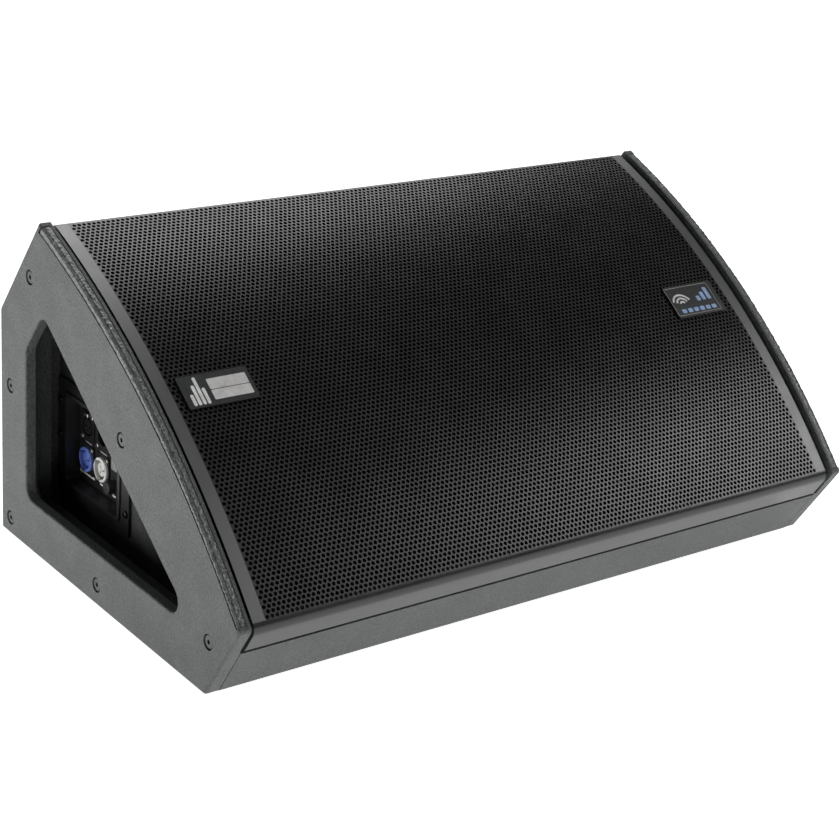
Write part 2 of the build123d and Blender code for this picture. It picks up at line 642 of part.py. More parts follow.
def make_tray():
    flange = extrude(RectangleRounded(*TRAY_FLANGE, 4), -TRAY_WALL)
    outer = TRAY_MOUTH[0] + 2 * TRAY_WALL, TRAY_MOUTH[1] + 2 * TRAY_WALL
    bead = extrude(RectangleRounded(outer[0] + 2, outer[1] + 2, 5), 2.2)
    bead = fillet(bead.faces().sort_by(Axis.Z)[-1].edges(), 1.5)
    box = extrude(RectangleRounded(*outer, 5), -TRAY_DEPTH - TRAY_WALL)
    tray = flange + bead + box - Pos(0, 0, 3) * extrude(RectangleRounded(*TRAY_MOUTH, 3), -TRAY_DEPTH - 3)
    for x, y in connector_places():
        tray -= on_floor(x, y) * Cylinder(BARREL_RADIUS, 20)
    for place in connector_screw_places():
        tray -= place * Cylinder(1.4, 12)
    tray -= on_floor(COLUMNS[0], SIGNAL_ROW + LATCH_OFFSET) * Box(LATCH[0] + 1, LATCH[1] + 1, 20)
    tray -= on_floor(*KNOB) * Cylinder(3.6, 20)
    for place in tray_screw_places():
        tray -= place * Cylinder(PAN_SCREW / 2, 20)
    save("connector_tray", TRAY * tray)


def flange_plate():
    plate = extrude(RectangleRounded(FLANGE_PLATE[0], FLANGE_PLATE[1], 3), FLANGE_PLATE[2])
    for sign in (-1, 1):
        plate -= Pos(sign * CONNECTOR_SCREW[0], sign * CONNECTOR_SCREW[1], 0) * Cylinder(1.6, 8)
    return plate


def contact_places():
    return [Pos(3.5, 0.0, 0), Pos(-3.5, 0.0, 0), Pos(0, -3.5, 0)]


def make_signal_connectors():
    socket = flange_plate() + Pos(0, 0, -9.7) * Cylinder(BARREL_RADIUS, 22.6)
    socket -= Pos(0, 0, -6) * (Cylinder(9.7, 20) - Cylinder(7.8, 20))
    for place in contact_places():
        socket -= place * Cylinder(1.4, 24)
    slot = LATCH[0] + 2 * LATCH_CLEARANCE, LATCH[1] + 2 * LATCH_CLEARANCE
    socket -= Pos(0, LATCH_OFFSET, 0) * Box(*slot, 60)
    save("signal_input_socket", TRAY * on_floor(COLUMNS[0], SIGNAL_ROW) * socket)
    tab = Pos(0, LATCH_OFFSET, 1.2) * Box(*LATCH, 5.6)
    tab = fillet(tab.edges().filter_by(Axis.Z) + tab.faces().sort_by(Axis.Z)[-1].edges(), 1)
    tab += Pos(0, LATCH_OFFSET, -5.6) * Box(LATCH[0] - 1, LATCH[1] - 1.4, 8.2)
    save("input_latch_tab", TRAY * on_floor(COLUMNS[0], SIGNAL_ROW) * tab)

    link = flange_plate() + Pos(0, 0, -9.7) * Cylinder(BARREL_RADIUS, 22.6)
    link -= Pos(0, 0, 6) * Cylinder(9.4, 40)
    for place in contact_places():
        link -= place * Pos(0, 0, -12) * Cylinder(1.2, 14)
    link_place = TRAY * on_floor(COLUMNS[1], SIGNAL_ROW)
    pins = [place * Pos(0, 0, -12) * Cylinder(1.2, 14) for place in contact_places()]
    pins = [chamfer(pin.faces().sort_by(Axis.Z)[-1].edges(), 0.5) for pin in pins]
    save("signal_link_plug", link_place * link)
    save("link_pins", *[link_place * pin for pin in pins])


def mains_socket():
    """Round twist-lock mains socket: a bezel, a keyed recess and a slotted core."""
    body = Pos(0, 0, 2.3) * Cylinder(BEZEL_RADIUS, 4.6)
    body = fillet(body.faces().sort_by(Axis.Z)[-1].edges(), 1.2)
    body += Pos(0, 0, -10) * Cylinder(BARREL_RADIUS, 20)
    body -= Cylinder(9.9, 32) - Cylinder(6.6, 32)
    body -= Pos(0, 0, 8) * Cylinder(8, 11)
    for angle in (20, 140, 260):
        body -= Rot(0, 0, angle) * Pos(10.4, 0, 0) * Box(3, 4.5, 22)
    for angle in (0, 120, 240):
        body -= Rot(0, 0, angle) * Pos(3.6, 0, 2) * Box(3.6, 1.3, 16)
    return body


def make_mains_connectors():
    plates = []
    for name, column in (("mains_inlet", COLUMNS[0]), ("mains_outlet", COLUMNS[1])):
        place = TRAY * on_floor(column, MAINS_ROW)
        save(name, place * mains_socket())
        plates.append(place * (flange_plate() - Cylinder(BEZEL_RADIUS, 20)))
    save("mains_flange_plates", *plates)
    heads = []
    for place in connector_screw_places():
        head = Cylinder(2.6, 1.4, align=(Align.CENTER, Align.CENTER, Align.MIN))
        head = fillet(head.faces().sort_by(Axis.Z)[-1].edges(), 0.8)
        head -= Pos(0, 0, 1.2) * Box(3.2, 0.6, 1) + Pos(0, 0, 1.2) * Box(0.6, 3.2, 1)
        shank = Pos(0, 0, -3.5) * Cylinder(1.4, 7)
        heads.append(TRAY * place * Pos(0, 0, FLANGE_PLATE[2]) * (head + shank))
    save("connector_screws", *heads)


def make_controls():
    knob = Pos(0, 0, 5.5) * Cylinder(6.5, 9)
    knob = fillet(knob.faces().sort_by(Axis.Z)[-1].edges(), 0.8)
    for i in range(18):
        knob -= Rot(0, 0, 20 * i) * Pos(6.7, 0, 6) * Box(0.9, 0.9, 12)
    knob -= Pos(0, 3.6, 10) * Box(0.8, 4.4, 1)
    knob -= Pos(0, 0, 3) * Cylinder(3.0, 6.1)
    save("level_knob", TRAY * on_floor(*KNOB) * knob)
    pot = Pos(0, 0, -7.5) * Box(16, 16, 9) + Pos(0, 0, -1.5) * Cylinder(3.3, 3)
    pot += Pos(0, 0, 2.5) * Cylinder(2.95, 6)
    save("level_potentiometer", TRAY * on_floor(*KNOB) * pot)
    plate = extrude(RectangleRounded(33, 28, 1.5), 0.8)
    save("legend_plate", TRAY * on_floor(29, 2) * plate)


# ---------------------------------------------------------------- electronics behind the tray
def make_electronics():
    front = -TRAY_DEPTH - TRAY_WALL
    shell = Pos(0, 0, HOUSING_BACK) * extrude(Rectangle(*HOUSING), front - HOUSING_BACK)
    inner = [side - 2 * HOUSING_WALL for side in HOUSING]
    cavity = Pos(0, 0, HOUSING_BACK + HOUSING_WALL) * extrude(Rectangle(*inner), front - HOUSING_BACK)
    housing = shell - cavity
    for hole in (LEAD_HOLE_WOOFER, LEAD_HOLE_HF):
        housing -= Pos(HOUSING[0] / 2, *hole) * Rot(0, 90, 0) * Cylinder(LEAD_RADIUS, 10)
    save("amplifier_housing", TRAY * housing)

    fins = Pos(0, 0, HOUSING_BACK - 2) * Box(96, 84, 4)
    for i in range(12):
        fins += Pos(-44 + 8 * i, 0, HOUSING_BACK - 12) * Box(2.2, 84, 18)
    save("heat_sink", TRAY * fins)

    board = Pos(0, 0, BOARD_LEVEL) * Box(100, 88, 1.6)
    posts, corners = [], [(x, y) for x in (-44, 44) for y in (-38, 38)]
    back_inside = HOUSING_BACK + HOUSING_WALL
    for x, y in corners:
        length = BOARD_LEVEL - 0.8 - back_inside
        posts.append(TRAY * Pos(x, y, back_inside + length / 2) * Cylinder(3, length))
    save("power_board", TRAY * board)
    save("board_standoffs", *posts)
    amp = Pos(34, 4, BOARD_LEVEL - 0.8 - 17) * Box(1.6, 60, 34)
    save("amplifier_board", TRAY * amp)
    cans = [TRAY * Pos(-30 + 22 * i, 26, BOARD_LEVEL - 0.8 - 14) * Cylinder(9, 28) for i in range(3)]
    save("reservoir_capacitors", *cans)
    core = Pos(-16, -14, BOARD_LEVEL - 0.8 - 13) * Box(38, 32, 26)
    core = fillet(core.edges().filter_by(Axis.Z), 4)
    save("switching_transformer", TRAY * core)


# ---------------------------------------------------------------- internal leads
def bend_radii(points):
    """The largest arc that each corner's two runs allow."""
    radii = []
    for a, b, c in zip(points, points[1:], points[2:]):
        before, after = Vector(b) - Vector(a), Vector(c) - Vector(b)
        turn = before.get_angle(after)
        radii.append(0.45 * min(before.length, after.length) / tan(radians(turn / 2)))
    return radii


def lead(name, points):
    path = FilletPolyline(*points, radius=bend_radii(points))
    start = Plane(origin=path @ 0, z_dir=path % 0)
    save(name, sweep(start * Circle(LEAD_RADIUS), path=path))


def route(start, end, before, after):
    """Lead route: bends placed from its start, then one placed from its end."""
    bends = [(start.X + x, start.Y + y, start.Z + z) for x, y, z in before]
    return [tuple(start), *bends, (end.X + after[0], end.Y + after[1], end.Z + after[2]), tuple(end)]


def make_leads():
    """The leads from the housing's side to the driver's terminals."""
    side = HOUSING[0] / 2 - HOUSING_WALL
    start = TRAY.from_local_coords((side, *LEAD_HOLE_WOOFER))
    end = FRONT.from_local_coords((-104.0, 0, -108.0))
    bends = [(0, -26, 0), (40, -46, 3), (86, -50, -4)]
    lead("woofer_lead", route(start, end, bends, (-30, 6, -3)))
    start = TRAY.from_local_coords((side, *LEAD_HOLE_HF))
    end = FRONT.from_local_coords((-46.0, 0, -185.5))
    bends = [(0, -34, 0), (44, -46, -8), (92, -24, -13)]
    lead("hf_lead", route(start, end, bends, (-34, 4, -2)))


def main():
    os.makedirs("parts", exist_ok=True)
    make_cabinet_boards()
    make_feet()
    make_baffle()
    make_partitions()
    make_battens()
    make_cheeks()
    make_grille()
    make_pan_head_screws()
    make_frame()
    make_driver_fixings()
    make_motor()
    make_moving_parts()
    make_suspension()
    make_high_frequency_unit()
    make_terminals()
    make_tray()
    make_signal_connectors()
    make_mains_connectors()
    make_controls()
    make_electronics()
    make_leads()


main()
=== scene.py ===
import json
import math

import bpy
import numpy as np
from mathutils import Matrix, Vector, noise


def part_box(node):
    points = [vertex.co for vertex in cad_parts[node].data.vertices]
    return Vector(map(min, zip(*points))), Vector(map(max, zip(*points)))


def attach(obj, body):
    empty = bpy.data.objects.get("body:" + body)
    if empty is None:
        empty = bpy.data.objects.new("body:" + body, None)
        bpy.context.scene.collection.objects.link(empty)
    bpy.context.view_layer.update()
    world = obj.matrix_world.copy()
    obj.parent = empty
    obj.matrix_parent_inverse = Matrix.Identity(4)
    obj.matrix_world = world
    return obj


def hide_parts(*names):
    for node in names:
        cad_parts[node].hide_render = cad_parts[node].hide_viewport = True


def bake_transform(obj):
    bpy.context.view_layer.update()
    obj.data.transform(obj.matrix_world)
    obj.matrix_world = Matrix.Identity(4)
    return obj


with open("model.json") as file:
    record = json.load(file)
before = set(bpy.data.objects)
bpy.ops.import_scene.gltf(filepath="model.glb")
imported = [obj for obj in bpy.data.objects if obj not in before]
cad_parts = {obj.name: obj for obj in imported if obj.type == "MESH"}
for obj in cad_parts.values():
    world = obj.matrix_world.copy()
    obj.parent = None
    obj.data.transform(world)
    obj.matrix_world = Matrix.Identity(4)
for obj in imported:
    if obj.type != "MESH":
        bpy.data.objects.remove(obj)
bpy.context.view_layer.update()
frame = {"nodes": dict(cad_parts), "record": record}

# ---------------------------------------------------------------- the cabinet's side outline
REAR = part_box("rear_panel")[1].y            # rear face
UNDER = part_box("bottom_panel")[0].z         # underside of the bottom panel
APEX = Vector((REAR - 0.077, UNDER + 0.3315))
NOSE = Vector((REAR - 0.437, UNDER + 0.079))
FRONT_BOTTOM = Vector((REAR - 0.388, UNDER))
REAR_TOP = Vector((REAR, UNDER + 0.230))
MIDDLE = (APEX + NOSE) / 2
ALONG = (APEX - NOSE).normalized()          # up the grille's chord
OUT = Vector((-ALONG.y, ALONG.x))           # out of the grille
HALF_CHORD = (APEX - NOSE).length / 2
RISE = 0.028                                # of the grille's arc over its chord
ARC_RADIUS = (HALF_CHORD ** 2 + RISE ** 2) / (2 * RISE)
ARC_CENTRE = MIDDLE + OUT * (RISE - ARC_RADIUS)
HALF_ARC = ARC_RADIUS * math.asin(HALF_CHORD / ARC_RADIUS)

SHEET = 0.0015                              # thickness of the grille
GRILLE_EDGE = 0.3475                        # half width
TOP_FOLD, TOP_FLANGE = 0.004, 0.018         # fold radius and flange length at the apex
NOSE_FOLD, NOSE_FLANGE = 0.010, 0.0295      # the same at the nose
PITCH, HOLE = 0.005, 0.0019                 # between holes, and radius of a hole
ROW = PITCH * math.sqrt(3) / 2
SIDE = PITCH / math.sqrt(3)                 # side of the hexagon round each hole
HOLE_SIDES = 12
ROWS, BANDS = 100, 5                        # rows of holes, made in this many bands
FIRST_HOLE = 0.3325                         # outermost hole of a row, from the middle
TOP_ROW = 0.2162                            # the top row's place along the arc
CHEEK_PROUD = 0.004                         # height of the cheeks' edges over the grille


def arc_point(along, depth):
    """Side-view point on the grille's arc, from the distance along it and the depth below it."""
    angle = along / ARC_RADIUS
    normal = ALONG * math.sin(angle) + OUT * math.cos(angle)
    return ARC_CENTRE + normal * (ARC_RADIUS - depth)


class Fold:
    """Round fold at one end of the arc, then a straight flange."""

    def __init__(self, sign, corner, beyond, radius, flange):
        self.sign, self.radius = sign, radius
        angle = math.asin(HALF_CHORD / ARC_RADIUS)
        tangent = (ALONG * math.cos(angle) - OUT * math.sin(angle) * sign) * sign
        run = (beyond - corner).normalized()
        self.turn = math.acos(max(-1.0, min(1.0, tangent.dot(run))))
        set_back = radius * math.tan(self.turn / 2)
        self.start = HALF_ARC - set_back
        self.fold_end = self.start + radius * self.turn
        self.end = self.fold_end + flange - set_back
        self.tangent = tangent
        self.centre = arc_point(sign * self.start, 0) - self.normal(0) * radius

    def normal(self, angle):
        """Outward normal once the sheet has turned through an angle."""
        t = Matrix.Rotation(-self.sign * angle, 2) @ self.tangent
        return Vector((-t.y, t.x)) * self.sign

    def point(self, distance, depth):
        angle = min(distance - self.start, self.radius * self.turn) / self.radius
        normal = self.normal(angle)
        straight = max(0.0, distance - self.fold_end)
        direction = Matrix.Rotation(-self.sign * angle, 2) @ self.tangent
        return self.centre + normal * (self.radius - depth) + direction * straight


UPPER = Fold(1, APEX, REAR_TOP, TOP_FOLD, TOP_FLANGE)
LOWER = Fold(-1, NOSE, FRONT_BOTTOM, NOSE_FOLD, NOSE_FLANGE)


def on_grille(x, along, depth=0.0):
    """Row-frame point on the grille's outer surface, or below it by a depth."""
    if along > UPPER.start:
        p = UPPER.point(along, depth)
    elif along < -LOWER.start:
        p = LOWER.point(-along, depth)
    else:
        p = arc_point(along, depth)
    return Vector((x, p.x, p.y))


def facing_out(vertices, faces):
    """Faces of a closed body, turned over if they face inwards."""
    points = np.array([tuple(v) for v in vertices])
    volume = 0.0
    for face in faces:
        a = points[face[0]]
        for i, j in zip(face[1:], face[2:]):
            volume += np.dot(a, np.cross(points[i], points[j]))
    return faces if volume > 0 else [tuple(reversed(face)) for face in faces]


def new_piece(name, vertices, faces, body="root", smooth_below=None):
    mesh = bpy.data.meshes.new(name)
    mesh.from_pydata([tuple(v) for v in vertices], [], [tuple(f) for f in faces])
    mesh.update()
    if smooth_below is not None:
        mesh.shade_smooth()
        mesh.set_sharp_from_angle(angle=math.radians(smooth_below))
    piece = bpy.data.objects.new(name, mesh)
    bpy.context.scene.collection.objects.link(piece)
    if body:
        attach(piece, body)
    return piece


# ---------------------------------------------------------------- material building blocks
class Material:
    """A Principled material with helpers for the nodes that feed it."""

    def __init__(self, name, **sockets):
        self.material = bpy.data.materials.new(name)
        self.material.use_nodes = True
        self.tree = self.material.node_tree
        self.shader = self.tree.nodes["Principled BSDF"]
        for socket, value in sockets.items():
            self.shader.inputs[socket.replace("_", " ")].default_value = value
        self.place = self.tree.nodes.new("ShaderNodeTexCoord").outputs["Object"]

    def node(self, kind, **properties):
        made = self.tree.nodes.new(kind)
        for key, value in properties.items():
            setattr(made, key, value)
        return made

    def link(self, source, target):
        self.tree.links.new(source, target)
        return target

    def stretched(self, scale, rotation=(0, 0, 0)):
        """The row-frame place, scaled and turned, to stretch a texture along one way."""
        mapping = self.node("ShaderNodeMapping")
        mapping.inputs["Scale"].default_value = scale
        mapping.inputs["Rotation"].default_value = rotation
        self.link(self.place, mapping.inputs["Vector"])
        return mapping.outputs["Vector"]

    def noise(self, scale, detail=4.0, roughness=0.6, place=None, distortion=0.0):
        made = self.node("ShaderNodeTexNoise")
        made.inputs["Scale"].default_value = scale
        made.inputs["Detail"].default_value = detail
        made.inputs["Roughness"].default_value = roughness
        made.inputs["Distortion"].default_value = distortion
        self.link(place or self.place, made.inputs["Vector"])
        return made.outputs["Fac"]

    def cells(self, scale, output="Distance", randomness=1.0):
        made = self.node("ShaderNodeTexVoronoi")
        made.inputs["Scale"].default_value = scale
        made.inputs["Randomness"].default_value = randomness
        self.link(self.place, made.inputs["Vector"])
        return made.outputs[output]

    def waves(self, scale, direction, distortion=0.0):
        made = self.node("ShaderNodeTexWave", bands_direction=direction)
        made.inputs["Scale"].default_value = scale
        made.inputs["Distortion"].default_value = distortion
        made.inputs["Detail"].default_value = 2.0
        self.link(self.place, made.inputs["Vector"])
        return made.outputs["Fac"]

    def between(self, value, low, high, new_low=0.0, new_high=1.0):
        """A value's range moved to a new one, and clamped to it."""
        made = self.node("ShaderNodeMapRange")
        keys = ("From Min", "From Max", "To Min", "To Max")
        for key, number in zip(keys, (low, high, new_low, new_high)):
            made.inputs[key].default_value = number
        self.link(value, made.inputs["Value"])
        return made.outputs["Result"]

    def maths(self, operation, first, second):
        made = self.node("ShaderNodeMath", operation=operation)
        for socket, value in zip(made.inputs, (first, second)):
            if isinstance(value, (int, float)):
                socket.default_value = value
            else:
                self.link(value, socket)
        return made.outputs["Value"]

    def colours(self, value, *stops):
        """Colour ramp from (position, (r, g, b)) stops."""
        ramp = self.node("ShaderNodeValToRGB")
        elements = ramp.color_ramp.elements
        while len(elements) < len(stops):
            elements.new(0.5)
        for element, (position, colour) in zip(elements, stops):
            element.position, element.color = position, (*colour, 1.0)
        self.link(value, ramp.inputs["Fac"])
        return ramp.outputs["Color"]

    def blend(self, value, first, second):
        """A colour between two, each given as (r, g, b) or as a node's output."""
        made = self.node("ShaderNodeMix", data_type="RGBA")
        colours = [s for s in made.inputs if s.type == "RGBA"]
        self.link(value, made.inputs["Factor"])
        for socket, colour in zip(colours, (first, second)):
            if isinstance(colour, tuple):
                socket.default_value = (*colour, 1.0)
            else:
                self.link(colour, socket)
        return [s for s in made.outputs if s.type == "RGBA"][0]

    def colour(self, output):
        self.link(output, self.shader.inputs["Base Color"])

    def roughness(self, value, low, high):
        self.link(self.between(value, 0.2, 0.8, low, high), self.shader.inputs["Roughness"])

    def bump(self, height, distance, strength=1.0, over=None):
        made = self.node("ShaderNodeBump")
        made.inputs["Distance"].default_value = distance
        made.inputs["Strength"].default_value = strength
        self.link(height, made.inputs["Height"])
        if over is not None:
            self.link(over, made.inputs["Normal"])
        self.link(made.outputs["Normal"], self.shader.inputs["Normal"])
        return made.outputs["Normal"]


def shade(colour, factor):
    return tuple(c * factor for c in colour)


def board_paint(name, colour):
    """Finely mottled matt structural paint on wood: tiny grains over soft cloudiness."""
    m = Material(name, IOR=1.45)
    grain = m.noise(1300, 3, 0.65)
    lumps = m.noise(430, 4, 0.6)
    cloud = m.noise(30, 5, 0.6)
    mottle = m.maths("ADD", m.maths("MULTIPLY", grain, 0.25), m.maths("MULTIPLY", lumps, 0.45))
    mottle = m.maths("ADD", mottle, m.maths("MULTIPLY", cloud, 0.3))
    dark, light = shade(colour, 0.52), shade(colour, 1.6)
    m.colour(m.colours(mottle, (0.38, dark), (0.5, colour), (0.62, light)))
    m.roughness(cloud, 0.46, 0.6)
    fine = m.bump(grain, 0.00015, 0.6)
    m.bump(lumps, 0.0011, 0.9, over=fine)
    return m.material


def powder_coat(name, colour, low, high, ior=1.5):
    """Satin powder coat on steel, with a slight orange peel and dust."""
    m = Material(name, IOR=ior)
    peel = m.noise(900, 2, 0.5)
    cloud = m.noise(26, 4, 0.6)
    dust = m.between(m.noise(2600, 2, 0.6), 0.62, 0.74)
    tone = m.colours(cloud, (0.3, shade(colour, 0.85)), (0.7, shade(colour, 1.15)))
    m.colour(m.blend(m.maths("MULTIPLY", dust, 0.35), tone, shade(colour, 2.4)))
    m.roughness(cloud, low, high)
    m.bump(peel, 0.00008, 0.5)
    return m.material


def moulded(name, colour, low=0.38, high=0.52, grain=2200, depth=0.00005):
    """Moulded plastic with a fine spark-eroded grain and handling shine."""
    m = Material(name, IOR=1.46)
    cloud = m.noise(120, 4, 0.6)
    m.colour(m.colours(cloud, (0.3, shade(colour, 0.86)), (0.7, shade(colour, 1.12))))
    m.roughness(cloud, low, high)
    m.bump(m.noise(grain, 3, 0.6), depth, 0.6)
    return m.material


def metal(name, colour, low, high, scale=(1, 1, 1), density=700, spots=0.0):
    """Metal with fine directional marks, cloudy tarnish and optional dark spots."""
    m = Material(name, Metallic=1.0)
    marks = m.noise(density, 4, 0.7, place=m.stretched(scale))
    cloud = m.noise(160, 4, 0.6)
    tone = m.colours(cloud, (0.3, shade(colour, 0.82)), (0.7, colour))
    if spots:
        dirt = m.between(m.noise(900, 3, 0.7), 0.6, 0.72)
        tone = m.blend(m.maths("MULTIPLY", dirt, spots), tone, shade(colour, 0.25))
    m.colour(tone)
    m.roughness(marks, low, high)
    m.bump(marks, 0.00002, 0.7)
    return m.material


def rubber(name, colour, low=0.6, high=0.8):
    m = Material(name, IOR=1.5)
    bloom = m.noise(60, 5, 0.65)
    m.colour(m.colours(bloom, (0.3, colour), (0.75, shade(colour, 1.9))))
    m.roughness(bloom, low, high)
    m.bump(m.noise(1400, 3, 0.6), 0.00008, 0.6)
    return m.material


def stained_plywood(name, colour):
    """Birch plywood stained black: long open grain with pores and lighter plies showing through."""
    m = Material(name, IOR=1.4)
    grain = m.noise(1.0, 6, 0.65, place=m.stretched((9, 260, 260)), distortion=0.6)
    pores = m.between(m.noise(1.0, 3, 0.7, place=m.stretched((60, 2200, 2200))), 0.58, 0.7)
    tone = m.colours(grain, (0.3, shade(colour, 0.6)), (0.55, colour), (0.75, shade(colour, 2.0)))
    m.colour(m.blend(pores, tone, shade(colour, 0.25)))
    m.roughness(grain, 0.55, 0.8)
    m.bump(m.maths("SUBTRACT", grain, pores), 0.0003, 0.6)
    return m.material


def strip_coating(name, colour):
    """Glossy rubbery coating over a coarse pebbled surface, with pale flecks painted on as
    highlights.
    """
    m = Material(name, IOR=1.5, Coat_Weight=0.25, Coat_Roughness=0.12)
    pebbles = m.noise(520, 3, 0.55, distortion=0.4)
    # pale flecks at 3.6 times the coating's colour: painted highlights
    glint_flecks = m.between(m.noise(900, 3, 0.7, place=m.stretched((1, 0.35, 0.35))), 0.56, 0.72)
    tone = m.colours(pebbles, (0.35, shade(colour, 0.5)), (0.6, shade(colour, 1.25)))
    m.colour(m.blend(m.maths("MULTIPLY", glint_flecks, 0.6), tone, shade(colour, 3.6)))
    m.roughness(pebbles, 0.42, 0.2)
    m.bump(pebbles, 0.0010, 0.9)
    return m.material


def foam(name, colour):
    """Open-cell foam: small round cells with thin lighter walls."""
    m = Material(name, Roughness=0.95, IOR=1.3)
    cells = m.cells(900)
    m.colour(m.colours(cells, (0.1, shade(colour, 0.35)), (0.6, colour), (0.9, shade(colour, 1.8))))
    m.bump(cells, 0.0006, 1.0)
    return m.material


def driver_axis(m):
    """Radius from the driver's axis and height along it, as node outputs in metres."""
    centre, axis = Vector((0, MIDDLE.x, MIDDLE.y)), Vector((0, OUT.x, OUT.y))
    offset = m.node("ShaderNodeVectorMath", operation="SUBTRACT")
    m.link(m.place, offset.inputs[0])
    offset.inputs[1].default_value = centre
    height = m.node("ShaderNodeVectorMath", operation="DOT_PRODUCT")
    m.link(offset.outputs["Vector"], height.inputs[0])
    height.inputs[1].default_value = axis
    length = m.node("ShaderNodeVectorMath", operation="LENGTH")
    m.link(offset.outputs["Vector"], length.inputs[0])
    length, height = length.outputs["Value"], height.outputs["Value"]
    squares = m.maths("MULTIPLY", length, length), m.maths("MULTIPLY", height, height)
    return m.maths("SQRT", m.maths("SUBTRACT", *squares), 0.0), height


def cloth(name, colour, threads, sheen):
    """Woven cloth stiffened with resin: crossed threads with doping that fills some gaps."""
    m = Material(name, Sheen_Weight=sheen, IOR=1.4)
    warp, weft = m.waves(threads, "X"), m.waves(threads, "Y")
    weave = m.maths("MAXIMUM", warp, weft)
    dope = m.noise(300, 4, 0.6)
    cover = m.maths("MULTIPLY", weave, dope)
    dark, light = shade(colour, 0.55), shade(colour, 1.35)
    m.colour(m.colours(cover, (0.2, dark), (0.5, colour), (0.8, light)))
    m.roughness(dope, 0.6, 0.8)
    m.bump(weave, 0.0002, 0.7)
    return m.material


RIB_PITCH, WIRE = 0.012, 0.0004             # between the cone's ribs, and the coil's wire


def cone_paper(name, colour):
    """Pressed pulp with concentric ribs and short fibres."""
    m = Material(name, IOR=1.4)
    radius, _ = driver_axis(m)
    ribs = m.maths("SINE", m.maths("MULTIPLY", radius, 2 * math.pi / RIB_PITCH), 0.0)
    fibres = m.noise(1.0, 5, 0.75, place=m.stretched((1400, 700, 700)), distortion=1.2)
    dark, light = shade(colour, 0.7), shade(colour, 1.8)
    m.colour(m.colours(fibres, (0.3, dark), (0.55, colour), (0.75, light)))
    m.roughness(fibres, 0.65, 0.85)
    fine = m.bump(fibres, 0.00015, 0.7)
    m.bump(ribs, 0.0004, 0.6, over=fine)
    return m.material


def winding(name, colour):
    """Flat-wound enamelled copper wire: fine turns stacked along the driver's axis."""
    m = Material(name, Metallic=0.9, Coat_Weight=0.6, Coat_Roughness=0.1)
    _, height = driver_axis(m)
    turns = m.maths("SINE", m.maths("MULTIPLY", height, 2 * math.pi / WIRE), 0.0)
    tone = m.noise(200, 3, 0.6)
    m.colour(m.colours(tone, (0.3, shade(colour, 0.7)), (0.7, shade(colour, 1.2))))
    m.roughness(tone, 0.22, 0.36)
    m.bump(turns, 0.0001, 0.8)
    return m.material


def circuit_board(name):
    """Solder mask over copper: rectangular track blocks, thin tracks and tinned pads."""
    m = Material(name, IOR=1.5, Coat_Weight=0.4, Coat_Roughness=0.15)
    brick = m.node("ShaderNodeTexBrick", offset=0.35)
    settings = {"Scale": 60.0, "Mortar Size": 0.06, "Brick Width": 0.5, "Row Height": 0.22,
                "Color1": (0.012, 0.10, 0.04, 1), "Color2": (0.02, 0.16, 0.06, 1),
                "Mortar": (0.006, 0.055, 0.022, 1)}
    for key, value in settings.items():
        brick.inputs[key].default_value = value
    m.link(m.stretched((1, 1, 1), rotation=(0, math.pi / 2, 0)), brick.inputs["Vector"])
    pads = m.between(m.cells(260, randomness=0.35), 0.16, 0.2, 1.0, 0.0)
    m.colour(m.blend(pads, brick.outputs["Color"], (0.55, 0.52, 0.42)))
    m.roughness(pads, 0.28, 0.4)
    m.bump(m.maths("ADD", pads, brick.outputs["Fac"]), 0.0001, 0.6)
    return m.material


def galvanised(name):
    """Zinc spangle: flat crystals of slightly different grey."""
    m = Material(name, Metallic=1.0)
    spangle = m.cells(110, output="Color")
    tone = m.node("ShaderNodeSeparateColor")
    m.link(spangle, tone.inputs["Color"])
    m.colour(m.colours(tone.outputs["Red"], (0.0, (0.40, 0.42, 0.44)), (1.0, (0.66, 0.68, 0.70))))
    m.roughness(tone.outputs["Green"], 0.32, 0.5)
    m.bump(tone.outputs["Blue"], 0.00003, 0.4)
    return m.material


def taped_core(name):
    """Ferrite core wrapped in yellow polyester tape, with overlaps between its turns."""
    m = Material(name, IOR=1.5, Coat_Weight=0.5, Coat_Roughness=0.12)
    laps = m.waves(38, "Z", distortion=0.4)
    wrinkles = m.noise(300, 4, 0.6)
    tone = m.maths("MULTIPLY", laps, wrinkles)
    m.colour(m.colours(tone, (0.05, (0.30, 0.19, 0.02)), (0.3, (0.68, 0.48, 0.05))))
    m.roughness(wrinkles, 0.25, 0.45)
    m.bump(laps, 0.0002, 0.6)
    return m.material


def capacitor_sleeve(name):
    """Dark shrink sleeve with a pale polarity stripe down one side."""
    m = Material(name, IOR=1.5)
    stripe = m.between(m.waves(7.0, "Y"), 0.90, 0.93)
    wrinkles = m.noise(240, 4, 0.6)
    base = m.colours(wrinkles, (0.3, (0.012, 0.012, 0.03)), (0.7, (0.03, 0.03, 0.06)))
    m.colour(m.blend(stripe, base, (0.42, 0.42, 0.45)))
    m.roughness(wrinkles, 0.25, 0.42)
    m.bump(wrinkles, 0.0001, 0.5)
    return m.material


def floor_paper(name):
    """Plain pale backdrop paper that glows a little, as on a light table."""
    m = Material(name, Roughness=0.9, Emission_Strength=0.95)
    m.shader.inputs["Emission Color"].default_value = (1, 1, 1, 1)
    m.colour(m.colours(m.noise(300, 3, 0.6), (0.3, (0.80, 0.80, 0.80)), (0.7, (0.84, 0.84, 0.84))))
    return m.material


